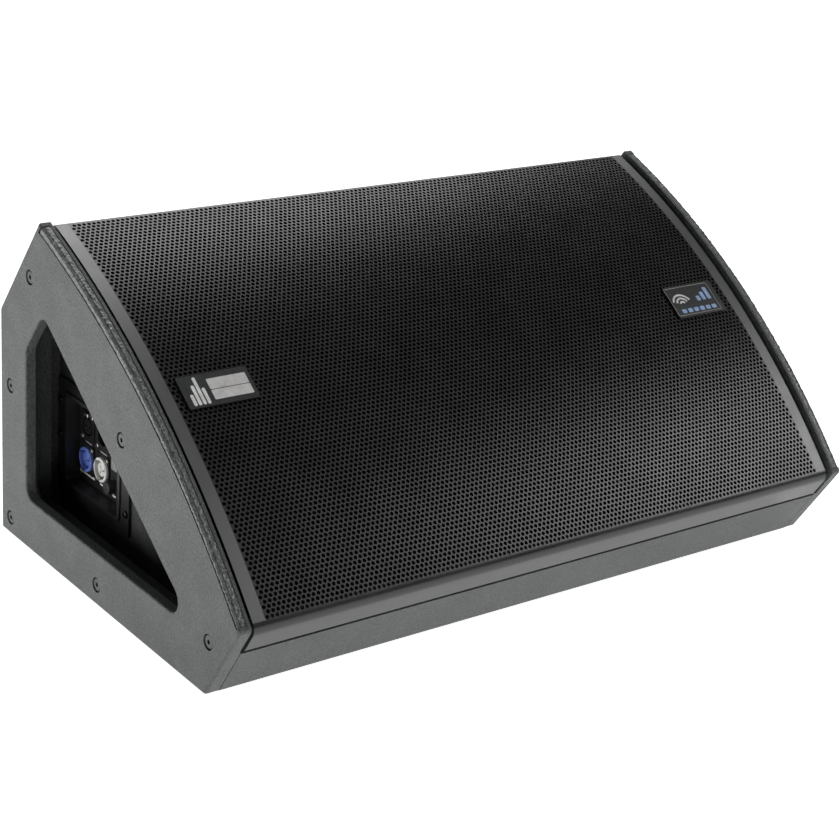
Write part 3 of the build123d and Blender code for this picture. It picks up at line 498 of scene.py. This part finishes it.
CHEEK = (0.080, 0.087, 0.083)
PAINTS = {
    "cheek_paint": board_paint("cheek_paint", CHEEK),
    "cabinet_paint": board_paint("cabinet_paint", shade(CHEEK, 0.9)),
    # recess paint: the cheek's paint darkened to about half, painted shade inside the recess
    "recess_paint": board_paint("recess_paint", (0.042, 0.044, 0.043)),
    "bare_plywood": stained_plywood("black_stained_plywood", (0.022, 0.019, 0.017)),
    # edge strip: its grey is lifted well above the cheek's, a painted highlight on the coating
    "edge_strip_coating": strip_coating("edge_strip_coating", (0.135, 0.144, 0.138)),
    "grille_paint": powder_coat("grille_powder_coat", (0.020, 0.0215, 0.0205), 0.24, 0.34),
    "grille_foam": foam("open_cell_foam", (0.010, 0.010, 0.010)),
    "grey_screws": metal("grey_phosphate", (0.13, 0.135, 0.13), 0.5, 0.66, spots=0.35),
    "black_screws": metal("black_zinc", (0.045, 0.045, 0.048), 0.28, 0.45, spots=0.3),
    "zinc_steel": metal("zinc_plated_steel", (0.58, 0.57, 0.53), 0.25, 0.42, spots=0.25),
    "black_rubber": rubber("black_rubber", (0.018, 0.018, 0.018)),
    "badge_plate": metal("anodised_plate", (0.085, 0.087, 0.088), 0.34, 0.46, scale=(0.06, 1, 1),
                         density=2600),
    "black_plastic": moulded("black_plastic", (0.014, 0.014, 0.015)),
    "cast_frame": powder_coat("painted_casting", (0.020, 0.020, 0.021), 0.42, 0.6),
    "ferrite": metal("pressed_ferrite", (0.10, 0.10, 0.105), 0.5, 0.7, scale=(1, 0.2, 0.2),
                     spots=0.4),
    "treated_cloth": cloth("doped_cloth", (0.022, 0.021, 0.020), 180, 0.2),
    "spider_cloth": cloth("spider_cloth", (0.42, 0.27, 0.09), 150, 0.3),
    "paper_cone": cone_paper("paper_cone", (0.026, 0.025, 0.024)),
    "coil_former": moulded("amber_film", (0.42, 0.20, 0.05), 0.12, 0.22),
    "coil_winding": winding("copper_winding", (0.70, 0.30, 0.12)),
    "diaphragm_foil": metal("formed_foil", (0.62, 0.62, 0.64), 0.2, 0.34),
    "bare_aluminium": metal("machined_aluminium", (0.62, 0.63, 0.64), 0.25, 0.4,
                            scale=(0.05, 1, 1)),
    "tray_paint": powder_coat("tray_paint", (0.017, 0.017, 0.0175), 0.32, 0.46),
    "latch_metal": metal("nickel_latch", (0.72, 0.71, 0.66), 0.18, 0.3),
    "gold_pins": metal("gold_plating", (0.80, 0.52, 0.18), 0.16, 0.28),
    "blue_plastic": moulded("blue_plastic", (0.20, 0.30, 0.86), 0.3, 0.42),
    "grey_plastic": moulded("light_grey_plastic", (0.86, 0.86, 0.83), 0.32, 0.46),
    "knob_plastic": moulded("knob_plastic", (0.05, 0.052, 0.053), 0.34, 0.5),
    "legend_print": moulded("legend_film", (0.30, 0.30, 0.295), 0.35, 0.5),
    "galvanised_sheet": galvanised("galvanised_sheet"),
    "circuit_board": circuit_board("circuit_board"),
    "brass_posts": metal("turned_brass", (0.72, 0.50, 0.20), 0.2, 0.36, scale=(1, 8, 8)),
    "capacitor_sleeve": capacitor_sleeve("capacitor_sleeve"),
    "transformer_tape": taped_core("transformer_tape"),
    "lead_jacket": rubber("lead_jacket", (0.016, 0.016, 0.017), 0.42, 0.6),
}


def paint(piece, material):
    piece.data.materials.clear()
    piece.data.materials.append(material)


def finish_as(piece, slot):
    """Gives a new piece the material of a record slot."""
    paint(piece, PAINTS[slot])


for row in frame["record"]["subparts"]:
    paint(frame["nodes"][row["node"]], PAINTS[row["material_slot"]])


# ---------------------------------------------------------------- perforated grille
def thick_patch(name, places, triangles, smooth_below=None):
    """Closed sheet from a patch of (x, along) places: both faces, and walls on every free edge."""
    places, triangles = np.asarray(places, float), np.asarray(triangles, int)
    count = len(places)
    outer = [on_grille(x, s, 0.0) for x, s in places]
    inner = [on_grille(x, s, SHEET) for x, s in places]
    edges = np.concatenate([triangles[:, [0, 1]], triangles[:, [1, 2]], triangles[:, [2, 0]]])
    keys = np.sort(edges, axis=1) @ np.array([count, 1])
    _, first, uses = np.unique(keys, return_index=True, return_counts=True)
    free = edges[first[uses == 1]]
    walls = np.column_stack([free[:, 1], free[:, 0], free[:, 0] + count, free[:, 1] + count])
    faces = [*triangles.tolist(), *(triangles[:, ::-1] + count).tolist(), *walls.tolist()]
    piece = new_piece(name, outer + inner, faces, smooth_below=smooth_below)
    finish_as(piece, "grille_paint")
    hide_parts("grille")
    return piece


def row_place(row):
    """Along-arc place and hole positions of one row; alternate rows are shifted by half a pitch."""
    along = TOP_ROW - (ROWS - 1 - row) * ROW
    edge = FIRST_HOLE - (row % 2) * PITCH / 2
    return along, np.arange(-edge, edge + PITCH / 2, PITCH)


def perforated_band(name, rows):
    """One band of rows, each hole in its own hexagon, with straight outer edges."""
    places, index, triangles = [], {}, []

    def corner(x, along, row, side):
        if row == ROWS - 1 and side > 0:
            along = UPPER.start
        elif row == 0 and side < 0:
            along = -LOWER.start
        key = (round(x * 1e6), round(along * 1e6))
        if key not in index:
            index[key] = len(places)
            places.append((x, along))
        return index[key]

    def hexagon(x, along, row):
        half = PITCH / 2
        ring = ((half, -SIDE / 2), (half, SIDE / 2), (0, SIDE),
                (-half, SIDE / 2), (-half, -SIDE / 2), (0, -SIDE))
        return [corner(x + a, along + b, row, 1 if b > 0 else -1) for a, b in ring]

    for row in rows:
        along, holes = row_place(row)
        for x in holes:
            corners = hexagon(x, along, row)
            ring = len(places)
            for step in range(HOLE_SIDES):
                angle = math.radians(30 * step - 30)
                places.append((x + HOLE * math.cos(angle), along + HOLE * math.sin(angle)))
            for i in range(6):
                a, b = corners[i], corners[(i + 1) % 6]
                near, middle, far = ring + 2 * i, ring + 2 * i + 1, ring + (2 * i + 2) % HOLE_SIDES
                triangles += [(a, b, middle), (a, middle, near), (b, far, middle)]
        if row % 2:
            for side in (-1, 1):
                x_in = side * (holes[-1] + PITCH / 2)
                x_out = x_in + side * PITCH / 2
                quad = [corner(x_in, along - SIDE / 2, row, -1),
                        corner(x_out, along - SIDE, row, -1),
                        corner(x_out, along + SIDE, row, 1),
                        corner(x_in, along + SIDE / 2, row, 1)]
                if side < 0:
                    quad.reverse()
                triangles += [(quad[0], quad[1], quad[2]), (quad[0], quad[2], quad[3])]
    return thick_patch(name, places, triangles)


# Side borders: the grille's powder coat at about 1.8 times its colour, a painted highlight, with a
# higher IOR for more sheen.
BORDER_PAINT = powder_coat("border_coat_painted_highlight", (0.036, 0.038, 0.037), 0.38, 0.46, ior=2.0)
BORDER_STEPS = (0.004, 0.006)               # mesh steps of the side borders: across, along
FLANGE_STEPS = (0.02, 0.005)                # the same of the flanges
TOP_FOLD_STEP, NOSE_FOLD_STEP = 0.0006, 0.001


def plain_patch(name, xs, alongs):
    places = [(x, s) for s in alongs for x in xs]
    columns, triangles = len(xs), []
    for j in range(len(alongs) - 1):
        for i in range(columns - 1):
            a = j * columns + i
            triangles += [(a, a + 1, a + columns + 1), (a, a + columns + 1, a + columns)]
    return thick_patch(name, places, triangles, smooth_below=30)


def steps(low, high, size):
    """Evenly spaced values from low to high, about a size apart."""
    count = max(1, round((high - low) / size))
    return [low + (high - low) * i / count for i in range(count + 1)]


def build_grille():
    for band in range(BANDS):
        rows = range(band * ROWS // BANDS, (band + 1) * ROWS // BANDS)
        perforated_band(f"grille_perforation_{band + 1}", rows)
    inner = FIRST_HOLE + PITCH / 2
    side = steps(-LOWER.start, UPPER.start, BORDER_STEPS[1])
    for name, low, high in (("left", -GRILLE_EDGE, -inner), ("right", inner, GRILLE_EDGE)):
        border = plain_patch(f"grille_border_{name}", steps(low, high, BORDER_STEPS[0]), side)
        paint(border, BORDER_PAINT)
    across = steps(-GRILLE_EDGE, GRILLE_EDGE, FLANGE_STEPS[0])
    top = (steps(UPPER.start, UPPER.fold_end, TOP_FOLD_STEP)
           + steps(UPPER.fold_end, UPPER.end, FLANGE_STEPS[1])[1:])
    plain_patch("grille_top_flange", across, top)
    low = (steps(LOWER.start, LOWER.fold_end, NOSE_FOLD_STEP)
           + steps(LOWER.fold_end, LOWER.end, FLANGE_STEPS[1])[1:])
    plain_patch("grille_lower_flange", across, [-s for s in reversed(low)])


# ---------------------------------------------------------------- foam behind the grille
FOAM_HALF_X, FOAM_HALF_S, FOAM_STEP = 0.342, 0.205, 0.006
FOAM_FRONT, FOAM_BACK = SHEET + 0.0002, 0.0053  # depths below the grille's outer surface
FOAM_RIM, FOAM_PINCH = 0.008, 0.0014        # width of the pulled-in rim, and how far each face goes
FOAM_LUMPS, FOAM_LUMP_HEIGHT = 70, 0.00015


def build_foam():
    """Thin foam sheet against the back of the grille, its edges pulled in and its face uneven."""
    xs = steps(-FOAM_HALF_X, FOAM_HALF_X, FOAM_STEP)
    ss = steps(-FOAM_HALF_S, FOAM_HALF_S, FOAM_STEP)
    columns, rows = len(xs), len(ss)
    vertices = []
    for layer, (depth, inwards) in enumerate(((FOAM_FRONT, 1), (FOAM_BACK, -1))):
        for s in ss:
            for x in xs:
                rim = min(FOAM_HALF_X - abs(x), FOAM_HALF_S - abs(s)) / FOAM_RIM
                pull = (1 - min(1.0, rim)) ** 2 * FOAM_PINCH
                spot = Vector((x * FOAM_LUMPS, s * FOAM_LUMPS, layer * 9))
                lump = noise.noise(spot) * FOAM_LUMP_HEIGHT
                vertices.append(on_grille(x, s, depth + (pull + abs(lump)) * inwards))
    faces, size = [], columns * rows
    for j in range(rows - 1):
        for i in range(columns - 1):
            a = j * columns + i
            faces.append((a, a + 1, a + columns + 1, a + columns))
            faces.append((size + a + columns, size + a + columns + 1, size + a + 1, size + a))
    ring = ([i for i in range(columns)] + [j * columns + columns - 1 for j in range(1, rows)]
            + [(rows - 1) * columns + i for i in range(columns - 2, -1, -1)]
            + [j * columns for j in range(rows - 2, 0, -1)])
    for a, b in zip(ring, ring[1:] + ring[:1]):
        faces.append((b, a, size + a, size + b))
    piece = new_piece("foam_sheet", vertices, faces, smooth_below=60)
    finish_as(piece, "grille_foam")
    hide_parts("grille_foam")


# ---------------------------------------------------------------- cone's suspension
SECTORS, SECTOR_STEPS = 24, 4               # sectors round the driver, and mesh steps across each
ROLL_CENTRE, ROLL_FOOT, ROLL, ROLL_SKIN = 0.1635, -0.010, 0.008, 0.001
SURROUND_EDGES = (0.1803, 0.1497)           # outer and inner radius
SURROUND_BEND = (0.1559, 0.1711)            # radii where it leaves the cone and meets the frame
SPIDER_BEND = (0.043, 0.081)                # the same of the spider, and ends of its waves
SPIDER_EDGES = (0.038, 0.095)               # inner and outer radius
SPIDER_LEVEL, SPIDER_SKIN = -0.0932, 0.0008
SPIDER_WAVES, SPIDER_WAVE_HEIGHT = 5, 0.002
PROFILE_STEPS = 24


def on_driver(radius, angle, height):
    """Row-frame point from the distance from the driver's axis, angle round it and height on it."""
    side = MIDDLE + ALONG * (radius * math.sin(angle)) + OUT * height
    return Vector((radius * math.cos(angle), side.x, side.y))


def surround_profile():
    """Half-roll with a flat foot on each side, as upper and lower (radius, height) lines."""
    upper, lower = [(SURROUND_EDGES[0], ROLL_FOOT + ROLL_SKIN)], [(SURROUND_EDGES[0], ROLL_FOOT)]
    tilt, inside = math.asin(ROLL_SKIN / ROLL), ROLL - ROLL_SKIN
    for i in range(PROFILE_STEPS + 1):
        low = math.pi * i / PROFILE_STEPS
        high = tilt + (math.pi - 2 * tilt) * i / PROFILE_STEPS
        upper.append((ROLL_CENTRE + ROLL * math.cos(high), ROLL_FOOT + ROLL * math.sin(high)))
        lower.append((ROLL_CENTRE + inside * math.cos(low), ROLL_FOOT + inside * math.sin(low)))
    upper.append((SURROUND_EDGES[1], ROLL_FOOT + ROLL_SKIN))
    lower.append((SURROUND_EDGES[1], ROLL_FOOT))
    return upper, lower


def spider_profile():
    """Corrugated disc with a flat rim at each edge, as upper and lower (radius, height) lines."""
    (inner, outer), (start, end) = SPIDER_EDGES, SPIDER_BEND
    upper = [(inner, SPIDER_LEVEL)]
    for radius in steps(start, end, 0.0008):
        turn = 2 * math.pi * SPIDER_WAVES * (radius - start) / (end - start)
        upper.append((radius, SPIDER_LEVEL + SPIDER_WAVE_HEIGHT * math.sin(turn)))
    upper.append((outer, SPIDER_LEVEL))
    return upper, [(radius, height - SPIDER_SKIN) for radius, height in upper]


def build_suspension(node, profile, slot, bend):
    """Ring of sectors round the driver's axis, each swept from the profile's upper and lower lines.
    """
    (upper, lower), (moving, fixed) = profile, bend
    lines, size = upper + lower[::-1], 2 * len(upper)
    half = math.pi / SECTORS
    for sector in range(SECTORS):
        middle = 2 * half * sector
        angles = steps(middle - half, middle + half, 2 * half / SECTOR_STEPS)
        vertices = [on_driver(radius, angle, height)
                    for angle in angles for radius, height in lines]
        faces = []
        for j in range(SECTOR_STEPS):
            for i in range(size):
                a, b = j * size + i, j * size + (i + 1) % size
                faces.append((a, b, b + size, a + size))
        last = SECTOR_STEPS * size
        for i in range(len(upper) - 1):
            a, b, c, d = i, i + 1, size - 2 - i, size - 1 - i
            faces += [(d, c, b, a), (last + a, last + b, last + c, last + d)]
        piece = new_piece(f"{node}_sector_{sector + 1}", vertices, facing_out(vertices, faces),
                          body=None, smooth_below=40)
        finish_as(piece, slot)
        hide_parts(node)
        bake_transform(piece)


# ---------------------------------------------------------------- textured edge strips
STRIP_OUTER, STRIP_INNER = 0.3644, 0.3559   # from the middle
STRIP_TOP = CHEEK_PROUD - 0.0006            # above the grille's arc
STRIP_CORNER = 0.0026                       # radius of its corner
STRIP_REACH = HALF_CHORD - 0.0054           # half its length along the chord
STRIP_STEP, STRIP_TAPER = 0.0007, 0.002     # mesh step, and length of each thinned end
SIDE_STEPS, CORNER_STEPS, TOP_STEP = 8, 5, 0.0005
CREASE, CREASE_DEPTH, CREASE_WIDTH = STRIP_OUTER - STRIP_CORNER * 1.1, 0.0009, 0.0005


def strip_side(chord):
    """How far the strip reaches down the cheek's outer face, more at the apex than at the nose."""
    return 0.0055 + 0.0025 * chord / HALF_CHORD - 0.0005


def strip_section(chord):
    """Cross-section of the strip as (distance from the middle, height, bumpiness) points."""
    low = CHEEK_PROUD - strip_side(chord)
    rise = STRIP_TOP - STRIP_CORNER - low
    side = [(STRIP_OUTER, low + rise * i / SIDE_STEPS, min(1, i / 2)) for i in range(SIDE_STEPS)]
    corner = []
    for i in range(CORNER_STEPS + 1):
        t = math.radians(90 * i / CORNER_STEPS)
        corner.append((STRIP_OUTER - STRIP_CORNER * (1 - math.cos(t)),
                       STRIP_TOP - STRIP_CORNER * (1 - math.sin(t)), 1))
    across = steps(STRIP_OUTER - STRIP_CORNER, STRIP_INNER, -TOP_STEP)[1:]
    top = [(x, STRIP_TOP, min(1, (x - STRIP_INNER) / 0.001)) for x in across]
    return side + corner + top, low


def build_edge_strip(name, side):
    """Coarse rubbery strip let into the corner of the cheek's curved edge."""
    count = round(2 * STRIP_REACH / STRIP_STEP)
    vertices, faces = [], []
    for j in range(count + 1):
        chord = -STRIP_REACH + 2 * STRIP_REACH * j / count
        along = ARC_RADIUS * math.asin(chord / ARC_RADIUS)
        section, low = strip_section(chord)
        end = min(1.0, (STRIP_REACH - abs(chord)) / STRIP_TAPER)
        for x, height, rough in section:
            spot = Vector((x * 300, chord * 300, height * 300 + side * 7))
            lump = noise.noise(spot) * 0.0005 + noise.noise(spot * 2.4) * 0.0003 - 0.0002
            groove = 0.0
            if height > STRIP_TOP - CREASE_DEPTH:
                groove = CREASE_DEPTH * math.exp(-((x - CREASE) / CREASE_WIDTH) ** 2)
            move = (lump * rough - groove) * end - 0.0012 * (1 - end) ** 2
            outwards = 0.7 if height < STRIP_TOP else 0.0
            vertices.append(on_grille(side * (x + move * outwards), along, -(height + move)))
        vertices.append(on_grille(side * STRIP_INNER, along, -low))
        size = len(section) + 1
        if j:
            for i in range(size):
                a, b = (j - 1) * size + i, (j - 1) * size + (i + 1) % size
                faces.append((a, b, b + size, a + size))
    faces.append(tuple(range(size - 1, -1, -1)))
    faces.append(tuple(count * size + i for i in range(size)))
    piece = new_piece(name, vertices, facing_out(vertices, faces), smooth_below=50)
    finish_as(piece, "edge_strip_coating")
    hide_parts("edge_strips")


# ---------------------------------------------------------------- badges and printed marks
def prism(name, outline, place, heights, material):
    """Thin printed or inlaid mark: a flat outline set on a surface between two heights."""
    count, (low, high) = len(outline), heights
    vertices = [place(a, b, low) for a, b in outline] + [place(a, b, high) for a, b in outline]
    faces = [list(range(count))[::-1], [count + i for i in range(count)]]
    faces += [(i, (i + 1) % count, count + (i + 1) % count, count + i) for i in range(count)]
    paint(new_piece(name, vertices, faces), material)


def rounded_bar(a, b, width, height, corner=None, segments=6):
    """Outline of a rounded rectangle about a centre, without doubled points."""
    corner = min(width, height) / 2 if corner is None else corner
    points = []
    for quarter, (sx, sy) in enumerate(((1, 1), (-1, 1), (-1, -1), (1, -1))):
        for k in range(segments + 1):
            angle = math.radians(90 * quarter + 90 * k / segments)
            points.append((a + sx * (width / 2 - corner) + corner * math.cos(angle),
                           b + sy * (height / 2 - corner) + corner * math.sin(angle)))
    following = points[1:] + points[:1]
    return [p for p, q in zip(points, following) if math.dist(p, q) > 1e-7]


def arc_band(a, b, radius, thick, start, end, segments=24):
    """Outline of part of a ring about a centre, between two angles in degrees."""
    outer = [math.radians(start + (end - start) * k / segments) for k in range(segments + 1)]
    points = [(a + radius * math.cos(t), b + radius * math.sin(t)) for t in outer]
    inside = radius - thick
    return points + [(a + inside * math.cos(t), b + inside * math.sin(t)) for t in reversed(outer)]


BADGE_FACE = 0.0021                         # height of a badge's outer face over the grille
LEFT_BADGE, RIGHT_BADGE = -0.290, 0.287     # their middles
INK, THIN_INK = (-0.0002, 0.0004), (-0.0002, 0.0003)
TRAY_INK = (-0.0001, 0.0002)


def on_badge(x, along, height):
    """A place on a badge's outer face; heights are from that face."""
    return on_grille(x, along, -(BADGE_FACE + height))


WHITE_PRINT = moulded("white_print", (0.90, 0.90, 0.89), 0.35, 0.5, grain=3000)
BLUE_PRINT = moulded("pale_blue_print", (0.34, 0.50, 0.80), 0.35, 0.5, grain=3000)
SILVER = moulded("silver_ink", (0.74, 0.73, 0.72), 0.22, 0.40, grain=2600, depth=0.0001)
GREY_PRINT = moulded("grey_print", (0.34, 0.34, 0.335), 0.4, 0.55, grain=3000)
PALE_PRINT = moulded("pale_grey_print", (0.72, 0.72, 0.71), 0.4, 0.55, grain=3000)


def build_badges():
    """Generic marks: level bars and two fields on the left, arcs, bars and dashes on the right."""
    middle = LEFT_BADGE
    for i, tall in enumerate((0.012, 0.021, 0.029, 0.017)):
        bar = rounded_bar(middle - 0.0285 + i * 0.0046, -0.0145 + tall / 2, 0.0032, tall)
        prism(f"left_badge_bar_{i + 1}", bar, on_badge, INK, WHITE_PRINT)
    for i, (low, high) in enumerate(((-0.0115, -0.0014), (-0.0006, 0.0105))):
        plate = rounded_bar(middle + 0.012, (low + high) / 2, 0.040, high - low, 0.0008)
        prism(f"left_badge_field_{i + 1}", plate, on_badge, INK, SILVER)
    middle = RIGHT_BADGE
    for i, radius in enumerate((0.0042, 0.0085, 0.0128)):
        ring = arc_band(middle - 0.016, -0.004, radius, 0.0022, 20, 160)
        prism(f"right_badge_arc_{i + 1}", ring, on_badge, INK, PALE_PRINT)
    for i, tall in enumerate((0.006, 0.010, 0.015)):
        bar = rounded_bar(middle + 0.008 + i * 0.0075, -0.003 + tall / 2, 0.0048, tall, 0.001)
        prism(f"right_badge_bar_{i + 1}", bar, on_badge, INK, BLUE_PRINT)
    edges = ((0, 0.0172, 0.060, 0.0006), (0, -0.0172, 0.060, 0.0006),
             (-0.0302, 0, 0.0006, 0.034), (0.0302, 0, 0.0006, 0.034))
    for i, (a, b, wide, tall) in enumerate(edges):
        edge = rounded_bar(middle + a, b, wide, tall)
        prism(f"right_badge_outline_{i + 1}", edge, on_badge, THIN_INK, GREY_PRINT)
    for i in range(6):
        dash = rounded_bar(middle - 0.020 + i * 0.0085, -0.0125, 0.006, 0.0048, 0.0012)
        prism(f"right_badge_dash_{i + 1}", dash, on_badge, INK, BLUE_PRINT)


TRAY_FLOOR = -0.298                         # of the connector tray, across the wedge


def on_tray(a, b, height):
    """A place on the connector tray's floor, from the tray's middle: a to the front, b up."""
    low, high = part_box("connector_tray")
    return Vector((TRAY_FLOOR - height, (low.y + high.y) / 2 - a, (low.z + high.z) / 2 + b))


def build_tray_marks():
    """Light bars and small labels printed on the tray's floor, without lettering."""
    marks = [("inlet_bar", -0.0365, -0.0365, 0.031, 0.0024, WHITE_PRINT),
             ("outlet_bar", -0.0015, -0.0363, 0.018, 0.0024, WHITE_PRINT),
             ("level_bar", 0.018, -0.039, 0.006, 0.002, WHITE_PRINT),
             ("input_label", -0.034, -0.0018, 0.013, 0.0028, GREY_PRINT),
             ("link_label", -0.004, -0.0018, 0.013, 0.0028, GREY_PRINT)]
    for name, a, b, wide, tall, material in marks:
        prism(f"tray_{name}", rounded_bar(a, b, wide, tall, 0.0006), on_tray, TRAY_INK, material)


# ---------------------------------------------------------------- floor, lights and camera
FLOOR = 14.0                                # half its side


def build_floor():
    mesh = bpy.data.meshes.new("floor")
    corners = [(-FLOOR, -FLOOR, 0), (FLOOR, -FLOOR, 0), (FLOOR, FLOOR, 0), (-FLOOR, FLOOR, 0)]
    mesh.from_pydata(corners, [], [(0, 1, 2, 3)])
    floor = bpy.data.objects.new("floor", mesh)
    bpy.context.scene.collection.objects.link(floor)
    paint(floor, floor_paper("floor_paper"))


def aim(source, target=(0, 0, 0)):
    """Rotation that points a lamp from one place towards another."""
    return (Vector(target) - Vector(source)).to_track_quat("-Z", "Y").to_euler()


def sun(name, source, strength, angle):
    lamp = bpy.data.lights.new(name, "SUN")
    lamp.energy, lamp.angle = strength, math.radians(angle)
    holder = bpy.data.objects.new(name, lamp)
    holder.rotation_euler = aim(source)
    bpy.context.scene.collection.objects.link(holder)


def softbox(name, source, target, power, size):
    lamp = bpy.data.lights.new(name, "AREA")
    lamp.energy, lamp.shape, lamp.size = power, "DISK", size
    holder = bpy.data.objects.new(name, lamp)
    holder.location = source
    holder.rotation_euler = aim(source, target)
    holder.visible_camera = False
    bpy.context.scene.collection.objects.link(holder)


def build_lights():
    world = bpy.data.worlds.new("studio")
    world.use_nodes = True
    background = world.node_tree.nodes["Background"]
    background.inputs["Color"].default_value = (1, 1, 1, 1)
    background.inputs["Strength"].default_value = 0.10
    bpy.context.scene.world = world
    bpy.context.scene.view_settings.view_transform = "Standard"
    sun("overhead_softbox", (0.38, 0.54, 0.75), 1.2, 36)
    sun("right_softbox", (0.76, -0.38, 0.52), 0.8, 24)
    softbox("left_softbox", (-0.98, 0.22, 0.10), (-0.36, 0.10, 0.12), 2.9, 0.5)


CAMERA_TURN = (-38.38, 21.51, 4.26)         # azimuth, elevation and roll in degrees
CAMERA_PLACE = (-1.1623, REAR - 1.6629, UNDER + 0.8559)


def build_camera():
    azimuth, elevation, roll = (math.radians(angle) for angle in CAMERA_TURN)
    level_part = math.cos(elevation)
    back = Vector((math.sin(azimuth) * level_part, -math.cos(azimuth) * level_part,
                   math.sin(elevation)))
    level = Vector((0, 0, 1)).cross(back).normalized()
    upright = back.cross(level)
    right = level * math.cos(roll) + upright * math.sin(roll)
    up = upright * math.cos(roll) - level * math.sin(roll)
    lens = bpy.data.cameras.new("camera")
    lens.lens, lens.sensor_width = 85.5, 36.0
    lens.clip_start, lens.clip_end = 0.1, 60.0
    camera = bpy.data.objects.new("camera", lens)
    turn = Matrix((right, up, back)).transposed().to_4x4()
    camera.matrix_world = Matrix.Translation(Vector(CAMERA_PLACE)) @ turn
    bpy.context.scene.collection.objects.link(camera)
    bpy.context.scene.camera = camera


build_camera()
build_lights()
build_floor()
build_grille()
build_foam()
build_suspension("surround", surround_profile(), "treated_cloth", SURROUND_BEND)
build_suspension("spider", spider_profile(), "spider_cloth", SPIDER_BEND)
build_edge_strip("edge_strip_left", -1)
build_edge_strip("edge_strip_right", 1)
build_badges()
build_tray_marks()
